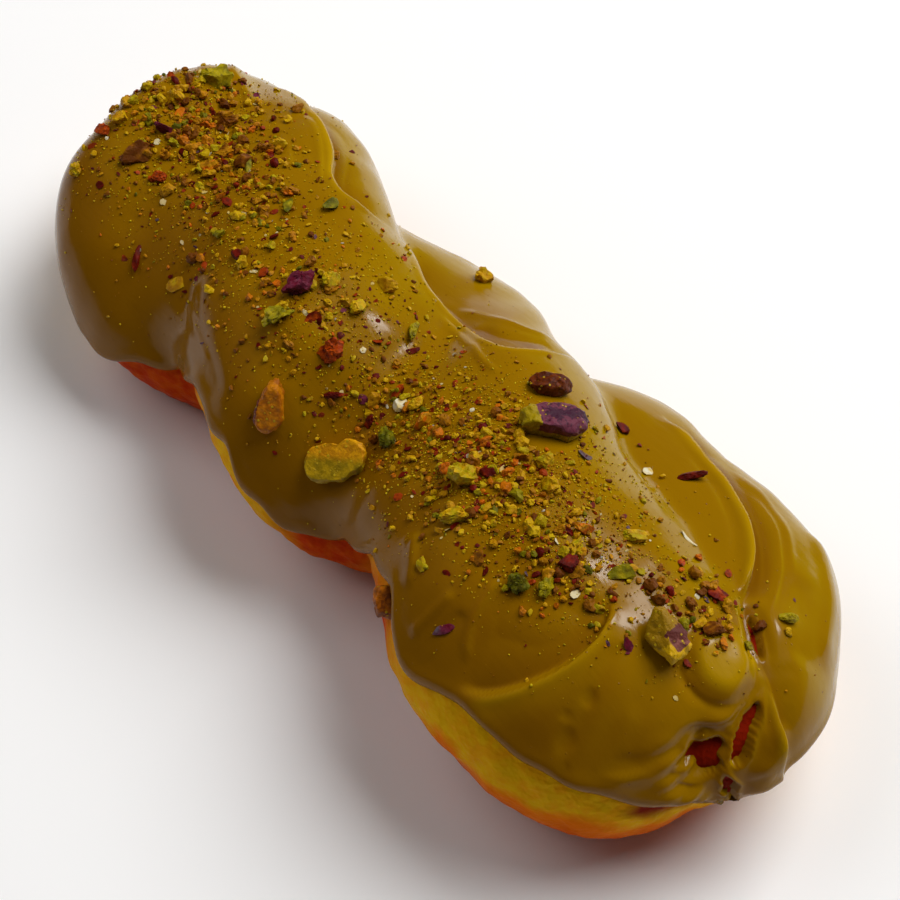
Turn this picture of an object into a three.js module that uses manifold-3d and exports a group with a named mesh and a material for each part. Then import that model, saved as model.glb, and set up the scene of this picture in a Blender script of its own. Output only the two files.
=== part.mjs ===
// A fried pastry twist: two strands of yeast dough wound round each other, the upper half under a
// thick pistachio cream icing with chopped pistachios on it.
// Millimetres, +Z up. +X runs along the twist to its nearer, thicker end, and -Y is the side where
// the bare dough shows. The group is shifted at the end so that it stands on the middle of its box.

import * as THREE from "three";
import { mergeVertices } from "three/addons/utils/BufferGeometryUtils.js";
import Module from "manifold-3d";

const wasm = await Module();
wasm.setup();

// ---- The two strands, as pairs of x and value --------------------------------------------------

// Half turns of the first strand about the twist's axis: 0 is the right side, 0.5 is on top.
const HALF_TURNS = [[-101, -0.5], [-68, 0.07], [-45.3, 0.5], [-18.5, 1], [4, 1.5], [35, 1.93], [88, 2.36]];
const ORBIT_ACROSS = [[-104, 1.4], [-60, 7.4], [0, 9], [45, 10.5], [90, 11]];
const ORBIT_UP = [[-104, 4], [-60, 6.5], [0, 6.5], [60, 6], [90, 4]];
const AXIS_Y = [[-100, 7.4], [-76, 1.3], [-40, 0.2], [-4, -0.3], [15, 2.8], [36, -0.9], [60, -1], [90, -7]];
const AXIS_Z = [[-104, 18.3], [-60, 16.2], [0, 17.5], [50, 18.5], [90, 16.5]];
const HALF_WIDTH = [[-100, 22.6], [-60, 25.2], [-20, 24.8], [14, 26.7], [45, 27.8], [80, 23]];
const HALF_HEIGHT = [[-104, 15], [-60, 17.8], [0, 16], [45, 17.6], [80, 17]];
// Half turns by which the orbit leans, so that a strand rides higher on the -Y side.
const ORBIT_LEAN = [[-95, 0], [-62, 0.05], [-38, 0.2], [0, 0.22]];
const TALLER_ON_LEFT = [[-95, -1], [-62, 0], [-34, 2.5]];
const WIDER_BELOW = 1.4;
const FAR_BLUNTNESS = 3.35;
const NEAR_BLUNTNESS = 2.4;
const STRANDS = [
  { phase: 0, farEnd: -77, farCap: 22.5, nearEnd: 61, nearCap: 24 },
  { phase: Math.PI, farEnd: -79, farCap: 12.9, nearEnd: 55, nearCap: 24.8 },
];
const DOUGH_BLEND = 0.12;
const REST_FLOOR = 0;

// ---- The icing --------------------------------------------------------------------------------

const ICING_THICKNESS = 1.8;
const LEAST_ICING = 0.9;
const CLEARANCE = 0.45;  // along a ray, which leaves about 0.3 square to the face
const GROOVE_BLEND = 0.1;
const SPREAD_BLEND = 0.42;  // the spread icing bridges the grooves left of the crest
const SPREAD_Y = [12, -4];  // it begins to bridge them here, and does so wholly here
const SPREAD_Z = [14, 30];
const DRIP_LEFT = [
  [-100, 12], [-62, 11], [-52, 14], [-42, 18], [-31, 27], [-20, 27], [-10, 20], [0, 16], [8, 20],
  [17, 29], [27, 32], [36, 28], [50, 31], [65, 28], [78, 24], [90, 18],
];
const DRIP_RIGHT = [[-100, 14], [-70, 11], [-40, 15], [-15, 11], [10, 15], [45, 11], [75, 13], [90, 16]];

// Spatula marks, as lines on the plan: their points, half width and height.
const RIDGES = [
  {
    points: [[-80, 27], [-68, 24.5], [-59, 22], [-53, 19], [-45, 13], [-38, 14], [-34, 17]],
    width: 1.8, height: 1.1,
  },
  { points: [[-92, 22], [-84, 19], [-76, 16]], width: 1.8, height: 0.8 },
  { points: [[-31, 17], [-23, 14], [-14, 13], [-5, 13], [2, 13], [8, 20]], width: 1.7, height: 1.2 },
  { points: [[28, 28], [38, 27], [48, 24], [56, 20], [62, 15], [66, 9]], width: 2, height: 1.6 },
  { points: [[67, 9], [73, 6], [78, 4], [84, 1]], width: 1.8, height: 0.9 },
  { points: [[54, -9], [57, -14], [57, -20], [55, -26], [51, -32], [45, -35]], width: 1.7, height: 1.2 },
  { points: [[40, -23], [41, -28], [43, -33]], width: 1.6, height: 0.8 },
  { points: [[60, 31], [69, 26], [77, 18]], width: 2.2, height: 0.9 },
];
const VALLEYS = [
  { points: [[-6, 18], [0, 21], [7, 24]], width: 2.6, depth: 1.6 },
  { points: [[9, 2], [13, -10], [20, -20], [24, -26]], width: 4, depth: 0.9 },
];
// The hollow that the spoon left on the near lobe, and the bulge beside the near crease.
const HOLLOW_RIM = 0.55;  // share of a hollow that is its floor, before the rim rises
const SPOON_HOLLOW = { x: 48, y: -23, along: 9, across: 13, depth: 1.3 };
const NEAR_BULGE = { x: 70, y: -1, along: 5.5, across: 7, depth: -1.2 };

// Places where the icing tore open at the near end: centre and half sizes.
const TEARS = [
  { at: [82, -11.5, 26.5], size: [2.4, 3, 4] },
  { at: [82.5, -3, 28.5], size: [5.2, 1.7, 4] },
  { at: [69.5, 8.4, 35], size: [3.6, 1.3, 4] },
];

// ---- Chopped pistachios -----------------------------------------------------------------------

// The pieces as large as a berry: place on the plan, half sizes, turn and how much of it is sunk.
const KERNELS = [
  { name: "pistachio_half", x: -1.5, y: -21.5, half: [5.9, 3.7, 2.4], turn: 1, sunk: 0.9, color: 0xb08a10 },
  { name: "pistachio_brown", x: -15, y: -25, half: [4.8, 3.1, 2.3], turn: 2.2, sunk: 0.8, color: 0x8a5208 },
  { name: "pistachio_purple", x: 23, y: 5, half: [5.8, 3.3, 2.5], turn: 1.15, sunk: 0.8, color: 0x7a3c58 },
  { name: "pistachio_skinned", x: 15.5, y: 11, half: [4, 2.2, 2], turn: 1.05, sunk: 0.6, color: 0x7c4406 },
  { name: "pistachio_chunk", x: 63, y: -7.5, half: [5.2, 3.7, 2.8], turn: 0.1, sunk: 0.9, color: 0x74661c },
];
// The piece stuck to the bare dough in the notch: its place and its way out of the dough.
const NOTCH_PIECE = {
  name: "pistachio_notch", at: [26, -32, 30.5], outward: [-0.47, -0.85, 0.26], half: [2.9, 2.6, 2.3],
  sunk: 1.3, color: 0x8a4a08,
};
// The largest crumbs, which are known by their places: x, y, half length, half width and turn.
const LARGE_CRUMBS = [
  [-84, 13, 3.4, 2.7, 1.1], [-83, 4, 2, 2, 0.9], [-77.5, -9.5, 3.1, 2.3, 1.1],
  [-77.5, -2, 2.8, 1.6, 1.3], [-61, 4, 2.3, 1.9, 0.3], [-60.5, 12, 1.8, 1.7, 0.9],
  [-28, -8, 3.4, 2.1, 1.3], [-25.5, -14.5, 3.8, 1.8, 1.8], [-20.5, 4.5, 2.2, 1.6, 0.6],
  [-15.5, -12, 2.2, 2, 1.5], [3.5, -14, 2.2, 1.8, 0.2], [21.5, -13.5, 2.9, 2.4, 1.1],
  [26.5, -19, 3, 1.8, 0.6], [38.5, 23.5, 3.3, 1.3, 0.9], [45, -11, 2.2, 1.8, 1.3],
  [51.5, -4.5, 2.7, 1.6, 1.2], [54, 6, 2.2, 1.3, 3.1], [67, 1, 2.2, 1.6, 0.8],
];
const CRUMB_SEED = 11;
const CRUMB_COUNT = 48;  // with the largest ones
const CRUMB_HALF = [1.1, 2];  // smallest and largest half length
const CRUMB_WIDTH = [0.6, 0.9];  // narrowest and widest, as a share of the length
const CRUMB_FLATNESS = 0.62;
const CRUMB_HEIGHT = 0.8;  // of a largest one, as a share of its half width
const CRUMB_SUNK = 0.8;  // share of its half height
const CRUMB_SUNK_MOST = 0.8;
const CRUMB_ROUGHNESS = 0.35;
const KERNEL_ROUGHNESS = 0.16;
const CRUMB_BAND = [[-92, 3], [-60, 3], [-28, -6], [0, -8], [25, -6], [45, -8], [72, 3]];
const CRUMB_SPREAD = 14.3;
const CRUMB_GAP = 0.6;  // between two crumbs
const CRUMB_CLEARANCE = 7.5;  // from the middle of a large piece

// ---- Mesh density -----------------------------------------------------------------------------

const RINGS = 54;
const TOP_COLUMNS = 24;
const UNDER_COLUMNS = 9;
const CAP_SHARE = 0.17;  // share of the rings that fan round each end
const FAN_FAR = -76;
const FAN_NEAR = 62;
const POLE_HEIGHT = 17;
const LONGEST_RAY = 70;
const HALVINGS = 26;
const SEAT_STEP = 1.5;  // reach to each side when the slope under a piece is measured
const WELD = 1e-4;

// ---- Curves and blends ------------------------------------------------------------------------

// A smooth curve through the knots that never overshoots them.
function curve(knots) {
  const last = knots.length - 1;
  const steps = knots.slice(1).map((knot, i) => knot[0] - knots[i][0]);
  const rises = steps.map((step, i) => (knots[i + 1][1] - knots[i][1]) / step);
  const slopes = knots.map((knot, i) => {
    if (i === 0) return rises[0];
    if (i === last) return rises[last - 1];
    if (rises[i - 1] * rises[i] <= 0) return 0;
    const before = 2 * steps[i] + steps[i - 1];
    const after = steps[i] + 2 * steps[i - 1];
    return (before + after) / (before / rises[i - 1] + after / rises[i]);
  });
  return (value) => {
    const x = Math.min(Math.max(value, knots[0][0]), knots[last][0]);
    let i = 0;
    while (i < last - 1 && x > knots[i + 1][0]) i += 1;
    const t = (x - knots[i][0]) / steps[i];
    const u = 1 - t;
    return (1 + 2 * t) * u * u * knots[i][1] + t * u * u * steps[i] * slopes[i]
      + t * t * (3 - 2 * t) * knots[i + 1][1] - t * t * u * steps[i] * slopes[i + 1];
  };
}

function smoothStep(from, to, value) {
  const t = Math.min(Math.max((value - from) / (to - from), 0), 1);
  return t * t * (3 - 2 * t);
}

function smoothMin(a, b, blend) {
  const h = Math.min(Math.max(0.5 + 0.5 * (b - a) / blend, 0), 1);
  return b + (a - b) * h - blend * h * (1 - h);
}

const halfTurns = curve(HALF_TURNS);
const orbitAcross = curve(ORBIT_ACROSS);
const orbitUp = curve(ORBIT_UP);
const axisY = curve(AXIS_Y);
const axisZ = curve(AXIS_Z);
const halfWidth = curve(HALF_WIDTH);
const halfHeight = curve(HALF_HEIGHT);
const orbitLean = curve(ORBIT_LEAN);
const tallerOnLeft = curve(TALLER_ON_LEFT);
const dripLeft = curve(DRIP_LEFT);
const dripRight = curve(DRIP_RIGHT);

// ---- The body as a gauge: below 1 inside, 1 on the surface -------------------------------------

// A strand is an oval that winds about the axis, closed by a blunt cap at each end.
function strandGauge(x, y, z, strand, grow) {
  const turned = Math.PI * halfTurns(x) + strand.phase;
  const across = y - axisY(x) - orbitAcross(x) * Math.cos(turned);
  const up = z - axisZ(x) - orbitUp(x) * Math.sin(turned - Math.PI * orbitLean(x));
  const wide = halfWidth(x) - WIDER_BELOW * Math.sin(turned) + grow;
  const tall = halfHeight(x) - tallerOnLeft(x) * Math.cos(turned) + grow;
  const ring = Math.hypot(across / wide, up / tall);
  const far = Math.max(strand.farEnd - x, 0) / (strand.farCap + grow);
  const near = Math.max(x - strand.nearEnd, 0) / (strand.nearCap + grow);
  const blunt = x < 0 ? FAR_BLUNTNESS : NEAR_BLUNTNESS;
  return (ring ** blunt + (far + near) ** blunt) ** (1 / blunt);
}

function doughGauge(x, y, z) {
  return smoothMin(strandGauge(x, y, z, STRANDS[0], 0), strandGauge(x, y, z, STRANDS[1], 0), DOUGH_BLEND);
}

function icingGauge(x, y, z) {
  const spread = smoothStep(...SPREAD_Y, y) * smoothStep(...SPREAD_Z, z);
  const blend = GROOVE_BLEND + (SPREAD_BLEND - GROOVE_BLEND) * spread;
  const first = strandGauge(x, y, z, STRANDS[0], ICING_THICKNESS);
  const second = strandGauge(x, y, z, STRANDS[1], ICING_THICKNESS);
  return smoothMin(first, second, blend);
}

// ---- Relief of the icing on the plan -----------------------------------------------------------

function distanceToLine(x, y, points) {
  let nearest = Infinity;
  for (let i = 1; i < points.length; i += 1) {
    const [ax, ay] = points[i - 1];
    const [bx, by] = points[i];
    const along = ((x - ax) * (bx - ax) + (y - ay) * (by - ay)) / ((bx - ax) ** 2 + (by - ay) ** 2);
    const t = Math.min(Math.max(along, 0), 1);
    nearest = Math.min(nearest, Math.hypot(x - ax - t * (bx - ax), y - ay - t * (by - ay)));
  }
  return nearest;
}

function bell(distance, width) {
  return Math.exp(-((distance / width) ** 2));
}

function hollow(x, y, place) {
  const away = Math.hypot((x - place.x) / place.along, (y - place.y) / place.across);
  return place.depth * (1 - smoothStep(HOLLOW_RIM, 1, away));
}

function relief(x, y) {
  const raised = RIDGES.map((line) => line.height * bell(distanceToLine(x, y, line.points), line.width));
  const sunk = VALLEYS.map((line) => line.depth * bell(distanceToLine(x, y, line.points), line.width));
  const total = (values) => values.reduce((sum, value) => sum + value, 0);
  return total(raised) - total(sunk) - hollow(x, y, SPOON_HOLLOW) - hollow(x, y, NEAR_BULGE);
}

// ---- Rays from the spine -----------------------------------------------------------------------

// Rays stand square to the spine along its length and fan round to the pole at each end.
function castRay(share, angle) {
  const farTurn = Math.min(share / CAP_SHARE, 1) * Math.PI / 2;
  const nearTurn = Math.min((1 - share) / CAP_SHARE, 1) * Math.PI / 2;
  const along = Math.min(Math.max((share - CAP_SHARE) / (1 - 2 * CAP_SHARE), 0), 1);
  const forward = Math.cos(nearTurn) - Math.cos(farTurn);
  const outward = Math.min(Math.sin(farTurn), Math.sin(nearTurn));
  const start = new THREE.Vector3(FAN_FAR + (FAN_NEAR - FAN_FAR) * along, 0, POLE_HEIGHT);
  const heading = new THREE.Vector3(forward, outward * Math.cos(angle), outward * Math.sin(angle));
  return { start, heading };
}

function reach(gauge, { start, heading }) {
  let inside = 0;
  let outside = LONGEST_RAY;
  for (let i = 0; i < HALVINGS; i += 1) {
    const middle = (inside + outside) / 2;
    const point = start.clone().addScaledVector(heading, middle);
    if (gauge(point.x, point.y, point.z) < 1) inside = middle;
    else outside = middle;
  }
  return inside;
}

function pointAt(ray, distance) {
  return ray.start.clone().addScaledVector(ray.heading, distance);
}

function doughReach(ray) {
  const free = reach(doughGauge, ray);
  const drop = -ray.heading.z;
  return drop > 0 ? Math.min(free, (ray.start.z - REST_FLOOR) / drop) : free;
}

function icingReach(ray, extra) {
  const free = reach(icingGauge, ray);
  const point = pointAt(ray, free);
  const least = doughReach(ray) + CLEARANCE + LEAST_ICING;
  return Math.max(free + relief(point.x, point.y), least) + extra;
}

// The angle, on one side, at which the dough's surface passes the height of the drip edge.
function dripAngle(share, side) {
  const drip = side > 0 ? dripRight : dripLeft;
  let low = -Math.PI / 2;
  let high = Math.PI / 2;
  for (let i = 0; i < HALVINGS; i += 1) {
    const middle = (low + high) / 2;
    const ray = castRay(share, side > 0 ? middle : Math.PI - middle);
    const point = pointAt(ray, reach(doughGauge, ray));
    const openness = Math.hypot(ray.heading.y, ray.heading.z) ** 2;
    const edge = POLE_HEIGHT + (drip(point.x) - POLE_HEIGHT) * openness;
    if (point.z < edge) low = middle;
    else high = middle;
  }
  return side > 0 ? low : Math.PI - low;
}

// ---- Meshes ------------------------------------------------------------------------------------

// Rings of rays from the far pole to the near pole. Each ring goes over the top from the right
// drip edge to the left one, and then back underneath.
function buildRings() {
  const rings = [];
  for (let i = 1; i < RINGS; i += 1) {
    const share = i / RINGS;
    const right = dripAngle(share, 1);
    const left = dripAngle(share, -1);
    const over = Array.from({ length: TOP_COLUMNS + 1 }, (_, j) => right + (left - right) * j / TOP_COLUMNS);
    const gap = right + 2 * Math.PI - left;
    const under = Array.from({ length: UNDER_COLUMNS - 1 }, (_, j) => left + gap * (j + 1) / UNDER_COLUMNS);
    rings.push({
      over: over.map((angle) => castRay(share, angle)),
      under: under.map((angle) => castRay(share, angle)),
    });
  }
  return rings;
}

const RING_RAYS = buildRings();
const FAR_POLE = castRay(0, 0);
const NEAR_POLE = castRay(1, 0);

function geometryFrom(points, faces) {
  const geometry = new THREE.BufferGeometry();
  const flat = points.flatMap((point) => [point.x, point.y, point.z]);
  geometry.setAttribute("position", new THREE.Float32BufferAttribute(flat, 3));
  geometry.setIndex(faces.flat());
  return geometry;
}

// A closed surface of loops of equal length between two poles.
function closedLoops(loops, farPoint, nearPoint) {
  const count = loops[0].length;
  const points = [farPoint, ...loops.flat(), nearPoint];
  const nearIndex = points.length - 1;
  const faces = [];
  for (let j = 0; j < count; j += 1) {
    const k = (j + 1) % count;
    faces.push([0, 1 + k, 1 + j]);
    for (let i = 0; i < loops.length - 1; i += 1) {
      const a = 1 + i * count;
      const b = a + count;
      faces.push([a + j, b + k, b + j]);
      faces.push([a + j, a + k, b + k]);
    }
    const tail = 1 + (loops.length - 1) * count;
    faces.push([tail + j, tail + k, nearIndex]);
  }
  return geometryFrom(points, faces);
}

function buildDough() {
  const place = (ray) => pointAt(ray, doughReach(ray));
  const loops = RING_RAYS.map(({ over, under }) => [...over, ...under].map(place));
  return closedLoops(loops, place(FAR_POLE), place(NEAR_POLE));
}

// The icing: an outer sheet and an inner sheet between the drip edges, joined along the edge.
function buildIcingShell() {
  const outer = (ray) => pointAt(ray, icingReach(ray, 0));
  const columns = TOP_COLUMNS + 1;
  const points = [];
  const faces = [];
  const sheet = (place) => {
    const base = points.length;
    points.push(place(FAR_POLE), ...RING_RAYS.flatMap(({ over }) => over.map(place)), place(NEAR_POLE));
    return base;
  };
  const outside = sheet(outer);
  const inside = sheet(clearOfDough);
  const last = RING_RAYS.length - 1;
  const nearPole = 1 + RING_RAYS.length * columns;
  const ringPoint = (i, j) => 1 + i * columns + j;
  const addFace = (a, b, c) => {
    faces.push([outside + a, outside + c, outside + b]);
    faces.push([inside + a, inside + b, inside + c]);
  };
  for (let j = 0; j < TOP_COLUMNS; j += 1) {
    addFace(0, ringPoint(0, j), ringPoint(0, j + 1));
    for (let i = 0; i < last; i += 1) {
      addFace(ringPoint(i, j), ringPoint(i + 1, j), ringPoint(i + 1, j + 1));
      addFace(ringPoint(i, j), ringPoint(i + 1, j + 1), ringPoint(i, j + 1));
    }
    addFace(ringPoint(last, j), nearPole, ringPoint(last, j + 1));
  }
  const edge = [0];
  for (let i = 0; i <= last; i += 1) edge.push(ringPoint(i, TOP_COLUMNS));
  edge.push(nearPole);
  for (let i = last; i >= 0; i -= 1) edge.push(ringPoint(i, 0));
  edge.forEach((here, i) => {
    const next = edge[(i + 1) % edge.length];
    faces.push([outside + here, inside + next, outside + next]);
    faces.push([outside + here, inside + here, inside + next]);
  });
  return geometryFrom(points, faces);
}

const clearOfDough = (ray) => pointAt(ray, doughReach(ray) + CLEARANCE);
const clearOfIcing = (ray) => pointAt(ray, icingReach(ray, CLEARANCE));

// What pieces are cut with: everything up to a little outside the dough, or the icing on top too.
function buildCover(above) {
  const loops = RING_RAYS.map(({ over, under }) => [...over.map(above), ...under.map(clearOfDough)]);
  return closedLoops(loops, above(FAR_POLE), above(NEAR_POLE));
}

function toSolid(geometry) {
  const bare = geometry.clone();
  bare.deleteAttribute("normal");
  bare.deleteAttribute("uv");
  const merged = mergeVertices(bare, WELD);
  return new wasm.Manifold(new wasm.Mesh({
    numProp: 3,
    vertProperties: new Float32Array(merged.attributes.position.array),
    triVerts: new Uint32Array(merged.index.array),
  }));
}

function toGeometry(solid) {
  const mesh = solid.getMesh();
  const geometry = new THREE.BufferGeometry();
  geometry.setAttribute("position", new THREE.Float32BufferAttribute(mesh.vertProperties, 3));
  geometry.setIndex(Array.from(mesh.triVerts));
  return geometry;
}

// ---- Crumbs, kernels and tears -----------------------------------------------------------------

// A repeatable stream of numbers from 0 to 1.
function seededRandom(seed) {
  let state = seed;
  return () => {
    state = (state * 1664525 + 1013904223) % 4294967296;
    return state / 4294967296;
  };
}

function icingTop(x, y) {
  let inside = POLE_HEIGHT;
  let outside = LONGEST_RAY;
  for (let i = 0; i < HALVINGS; i += 1) {
    const middle = (inside + outside) / 2;
    if (icingGauge(x, y, middle) < 1) inside = middle;
    else outside = middle;
  }
  return inside + relief(x, y);
}

// The frame on the icing at a place on the plan: its point, and a turn from +Z to its slope.
function seatOn(x, y) {
  const point = new THREE.Vector3(x, y, icingTop(x, y));
  const slopeX = (icingTop(x + SEAT_STEP, y) - icingTop(x - SEAT_STEP, y)) / (2 * SEAT_STEP);
  const slopeY = (icingTop(x, y + SEAT_STEP) - icingTop(x, y - SEAT_STEP)) / (2 * SEAT_STEP);
  const normal = new THREE.Vector3(-slopeX, -slopeY, 1).normalize();
  const tilt = new THREE.Quaternion().setFromUnitVectors(new THREE.Vector3(0, 0, 1), normal);
  return { point, normal, tilt };
}

function weldedBall(detail) {
  const ball = new THREE.IcosahedronGeometry(1, detail);
  ball.deleteAttribute("normal");
  ball.deleteAttribute("uv");
  return mergeVertices(ball, WELD);
}

// An uneven lump: a ball of few faces whose corners are moved in or out a little.
function lump(detail, half, roughness, random) {
  const ball = weldedBall(detail);
  const corners = ball.attributes.position;
  for (let i = 0; i < corners.count; i += 1) {
    const swell = 1 + roughness * (random() - 0.5);
    corners.setXYZ(
      i,
      corners.getX(i) * half[0] * swell,
      corners.getY(i) * half[1] * swell,
      corners.getZ(i) * half[2] * swell,
    );
  }
  return ball;
}

function placeLump(geometry, { point, normal, tilt }, turn, sunk) {
  const lift = new THREE.Box3().setFromBufferAttribute(geometry.attributes.position).max.z - sunk;
  geometry.applyQuaternion(new THREE.Quaternion().setFromAxisAngle(new THREE.Vector3(0, 0, 1), turn));
  geometry.applyQuaternion(tilt);
  geometry.translate(...point.addScaledVector(normal, lift).toArray());
  return geometry;
}

function crumbAt(x, y, half, turn, random) {
  const rough = lump(0, half, CRUMB_ROUGHNESS, random);
  const sunk = Math.min(CRUMB_SUNK * half[2], CRUMB_SUNK_MOST);
  return { x, y, reach: half[0], shape: placeLump(rough, seatOn(x, y), turn, sunk) };
}

// The largest crumbs first; the others lie thickest along the crest and thin out to its sides.
function buildCrumbs() {
  const random = seededRandom(CRUMB_SEED);
  const bandY = curve(CRUMB_BAND);
  const crumbs = LARGE_CRUMBS.map(([x, y, length, width, turn]) => {
    return crumbAt(x, y, [length, width, width * CRUMB_HEIGHT], turn, random);
  });
  while (crumbs.length < CRUMB_COUNT) {
    const x = CRUMB_BAND[0][0] + (CRUMB_BAND.at(-1)[0] - CRUMB_BAND[0][0]) * random();
    const y = bandY(x) + CRUMB_SPREAD * (random() + random() + random() - 1.5);
    const length = CRUMB_HALF[0] + (CRUMB_HALF[1] - CRUMB_HALF[0]) * random() ** 2;
    const width = CRUMB_WIDTH[0] + (CRUMB_WIDTH[1] - CRUMB_WIDTH[0]) * random();
    const half = [length, length * width, length * CRUMB_FLATNESS];
    const turn = Math.PI * random();
    const away = (other) => Math.hypot(x - other.x, y - other.y);
    const taken = KERNELS.some((kernel) => away(kernel) < CRUMB_CLEARANCE);
    const crowded = crumbs.some((crumb) => away(crumb) < crumb.reach + length + CRUMB_GAP);
    if (taken || crowded) continue;
    crumbs.push(crumbAt(x, y, half, turn, random));
  }
  return crumbs.map((crumb) => toSolid(crumb.shape));
}

function buildTears() {
  return TEARS.map(({ at, size }) => {
    const cutter = new THREE.IcosahedronGeometry(1, 1);
    cutter.scale(...size);
    cutter.translate(...at);
    return toSolid(cutter);
  });
}

function buildIcing() {
  const torn = buildTears().reduce((solid, tear) => solid.subtract(tear), toSolid(buildIcingShell()));
  const core = toSolid(buildCover(clearOfDough));
  return toGeometry(buildCrumbs().reduce((solid, crumb) => solid.add(crumb.subtract(core)), torn));
}

function buildKernel(kernel, cover) {
  const random = seededRandom(CRUMB_SEED + Math.round(100 * kernel.half[0]));
  const rough = lump(1, kernel.half, KERNEL_ROUGHNESS, random);
  const body = placeLump(rough, seatOn(kernel.x, kernel.y), kernel.turn, kernel.sunk);
  return toGeometry(toSolid(body).subtract(cover));
}

function buildNotchPiece(piece, cover) {
  const normal = new THREE.Vector3(...piece.outward).normalize();
  const tilt = new THREE.Quaternion().setFromUnitVectors(new THREE.Vector3(0, 0, 1), normal);
  const rough = lump(1, piece.half, KERNEL_ROUGHNESS, seededRandom(CRUMB_SEED));
  const body = placeLump(rough, { point: new THREE.Vector3(...piece.at), normal, tilt }, 0, piece.sunk);
  return toGeometry(toSolid(body).subtract(cover));
}

// ---- The model ---------------------------------------------------------------------------------

function bakedDough() {
  return new THREE.MeshStandardMaterial({ color: 0xb46a14, roughness: 0.62, metalness: 0 });
}

function pistachioCream() {
  return new THREE.MeshStandardMaterial({ color: 0x9a7c08, roughness: 0.22, metalness: 0 });
}

function pistachioKernel(color) {
  return new THREE.MeshStandardMaterial({ color, roughness: 0.6, metalness: 0 });
}

function namedMesh(name, geometry, material) {
  geometry.computeVertexNormals();
  const mesh = new THREE.Mesh(geometry, material);
  mesh.name = name;
  return mesh;
}

const twist = new THREE.Group();
twist.add(namedMesh("dough", buildDough(), bakedDough()));
twist.add(namedMesh("icing", buildIcing(), pistachioCream()));
const cover = toSolid(buildCover(clearOfIcing));
for (const kernel of KERNELS) {
  twist.add(namedMesh(kernel.name, buildKernel(kernel, cover), pistachioKernel(kernel.color)));
}
const notchPiece = buildNotchPiece(NOTCH_PIECE, cover);
twist.add(namedMesh(NOTCH_PIECE.name, notchPiece, pistachioKernel(NOTCH_PIECE.color)));

const box = new THREE.Box3().setFromObject(twist);
const middle = box.getCenter(new THREE.Vector3());
twist.position.set(-middle.x, -middle.y, -box.min.z);

export default twist;
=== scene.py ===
"""An iced pastry twist: fried dough, thick pistachio icing, kernels and crumbs.

Shapes are worked out in millimetres in the twist's own frame, with +X along the twist to its
thicker end and -Y the side where the bare dough shows, and are then shifted onto the CAD frame.
"""

import logging
import math
from collections.abc import Callable
from dataclasses import dataclass, field
from enum import Enum

import bpy
import numpy as np
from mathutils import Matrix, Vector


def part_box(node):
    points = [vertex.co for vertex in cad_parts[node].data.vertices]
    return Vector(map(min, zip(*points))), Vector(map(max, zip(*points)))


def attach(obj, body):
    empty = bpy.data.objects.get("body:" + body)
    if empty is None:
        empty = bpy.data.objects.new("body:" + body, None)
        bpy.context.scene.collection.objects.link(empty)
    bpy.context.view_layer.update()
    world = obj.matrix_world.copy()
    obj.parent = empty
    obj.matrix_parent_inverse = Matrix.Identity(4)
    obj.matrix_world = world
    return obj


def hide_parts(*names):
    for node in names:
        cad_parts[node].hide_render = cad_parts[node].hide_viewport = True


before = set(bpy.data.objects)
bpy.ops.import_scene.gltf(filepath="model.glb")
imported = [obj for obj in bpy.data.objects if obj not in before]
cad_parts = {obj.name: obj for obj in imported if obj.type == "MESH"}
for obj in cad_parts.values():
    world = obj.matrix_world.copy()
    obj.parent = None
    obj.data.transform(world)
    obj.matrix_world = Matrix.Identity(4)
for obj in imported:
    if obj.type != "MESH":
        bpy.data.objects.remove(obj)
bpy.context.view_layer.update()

MM = 0.001
TINY = 1e-6
log = logging.getLogger("twist")

Array = np.ndarray
Knots = tuple[tuple[float, float], ...]
Point = tuple[float, float, float]
Colour = tuple[float, float, float, float]
Faces = list[tuple[int, ...]]
Socket = bpy.types.NodeSocket
Value = Socket | Colour | float


# ---- Curves, blends and ripples ------------------------------------------------------------------


class Curve:
    """A smooth curve through knots that never overshoots them, kept as a fine table."""

    SAMPLES = 4000

    def __init__(self, knots: Knots) -> None:
        """Works the table out: cubic pieces whose slope at a knot is the mean of its neighbours'.

        Args:
            knots: pairs of place and value, in rising order of place.
        """
        x, y = np.array(knots, float).T
        step = np.diff(x)
        rise = np.diff(y) / step
        slope = np.zeros_like(y)
        slope[0], slope[-1] = rise[0], rise[-1]
        before = 2 * step[1:] + step[:-1]
        after = step[1:] + 2 * step[:-1]
        same_way = rise[:-1] * rise[1:] > 0
        safe = np.where(same_way[:, None], np.stack([rise[:-1], rise[1:]], 1), 1.0)
        mean = (before + after) / (before / safe[:, 0] + after / safe[:, 1])
        slope[1:-1] = np.where(same_way, mean, 0.0)
        self.place = np.linspace(x[0], x[-1], self.SAMPLES)
        i = np.clip(np.searchsorted(x, self.place, side="right") - 1, 0, len(step) - 1)
        t = (self.place - x[i]) / step[i]
        u = 1 - t
        self.value = (
            (1 + 2 * t) * u * u * y[i]
            + t * u * u * step[i] * slope[i]
            + t * t * (3 - 2 * t) * y[i + 1]
            - t * t * u * step[i] * slope[i + 1]
        )

    def __call__(self, x: Array) -> Array:
        """The curve's value at x, which is held at its end values beyond its ends."""
        return np.interp(x, self.place, self.value)


def smooth_step(start: float, end: float, value: Array) -> Array:
    """0 before start, 1 past end, and the cubic 3t^2 - 2t^3 between them."""
    t = np.clip((value - start) / (end - start), 0.0, 1.0)
    return t * t * (3 - 2 * t)


def smooth_min(a: Array, b: Array, blend: Array | float) -> Array:
    """The lesser of a and b, rounded by a parabola where they differ by less than blend."""
    h = np.clip(0.5 + 0.5 * (b - a) / blend, 0.0, 1.0)
    return b + (a - b) * h - blend * h * (1 - h)


def bell(distance: Array, width: Array | float) -> Array:
    """exp(-(distance / width)^2)."""
    return np.exp(-((distance / width) ** 2))


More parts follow.
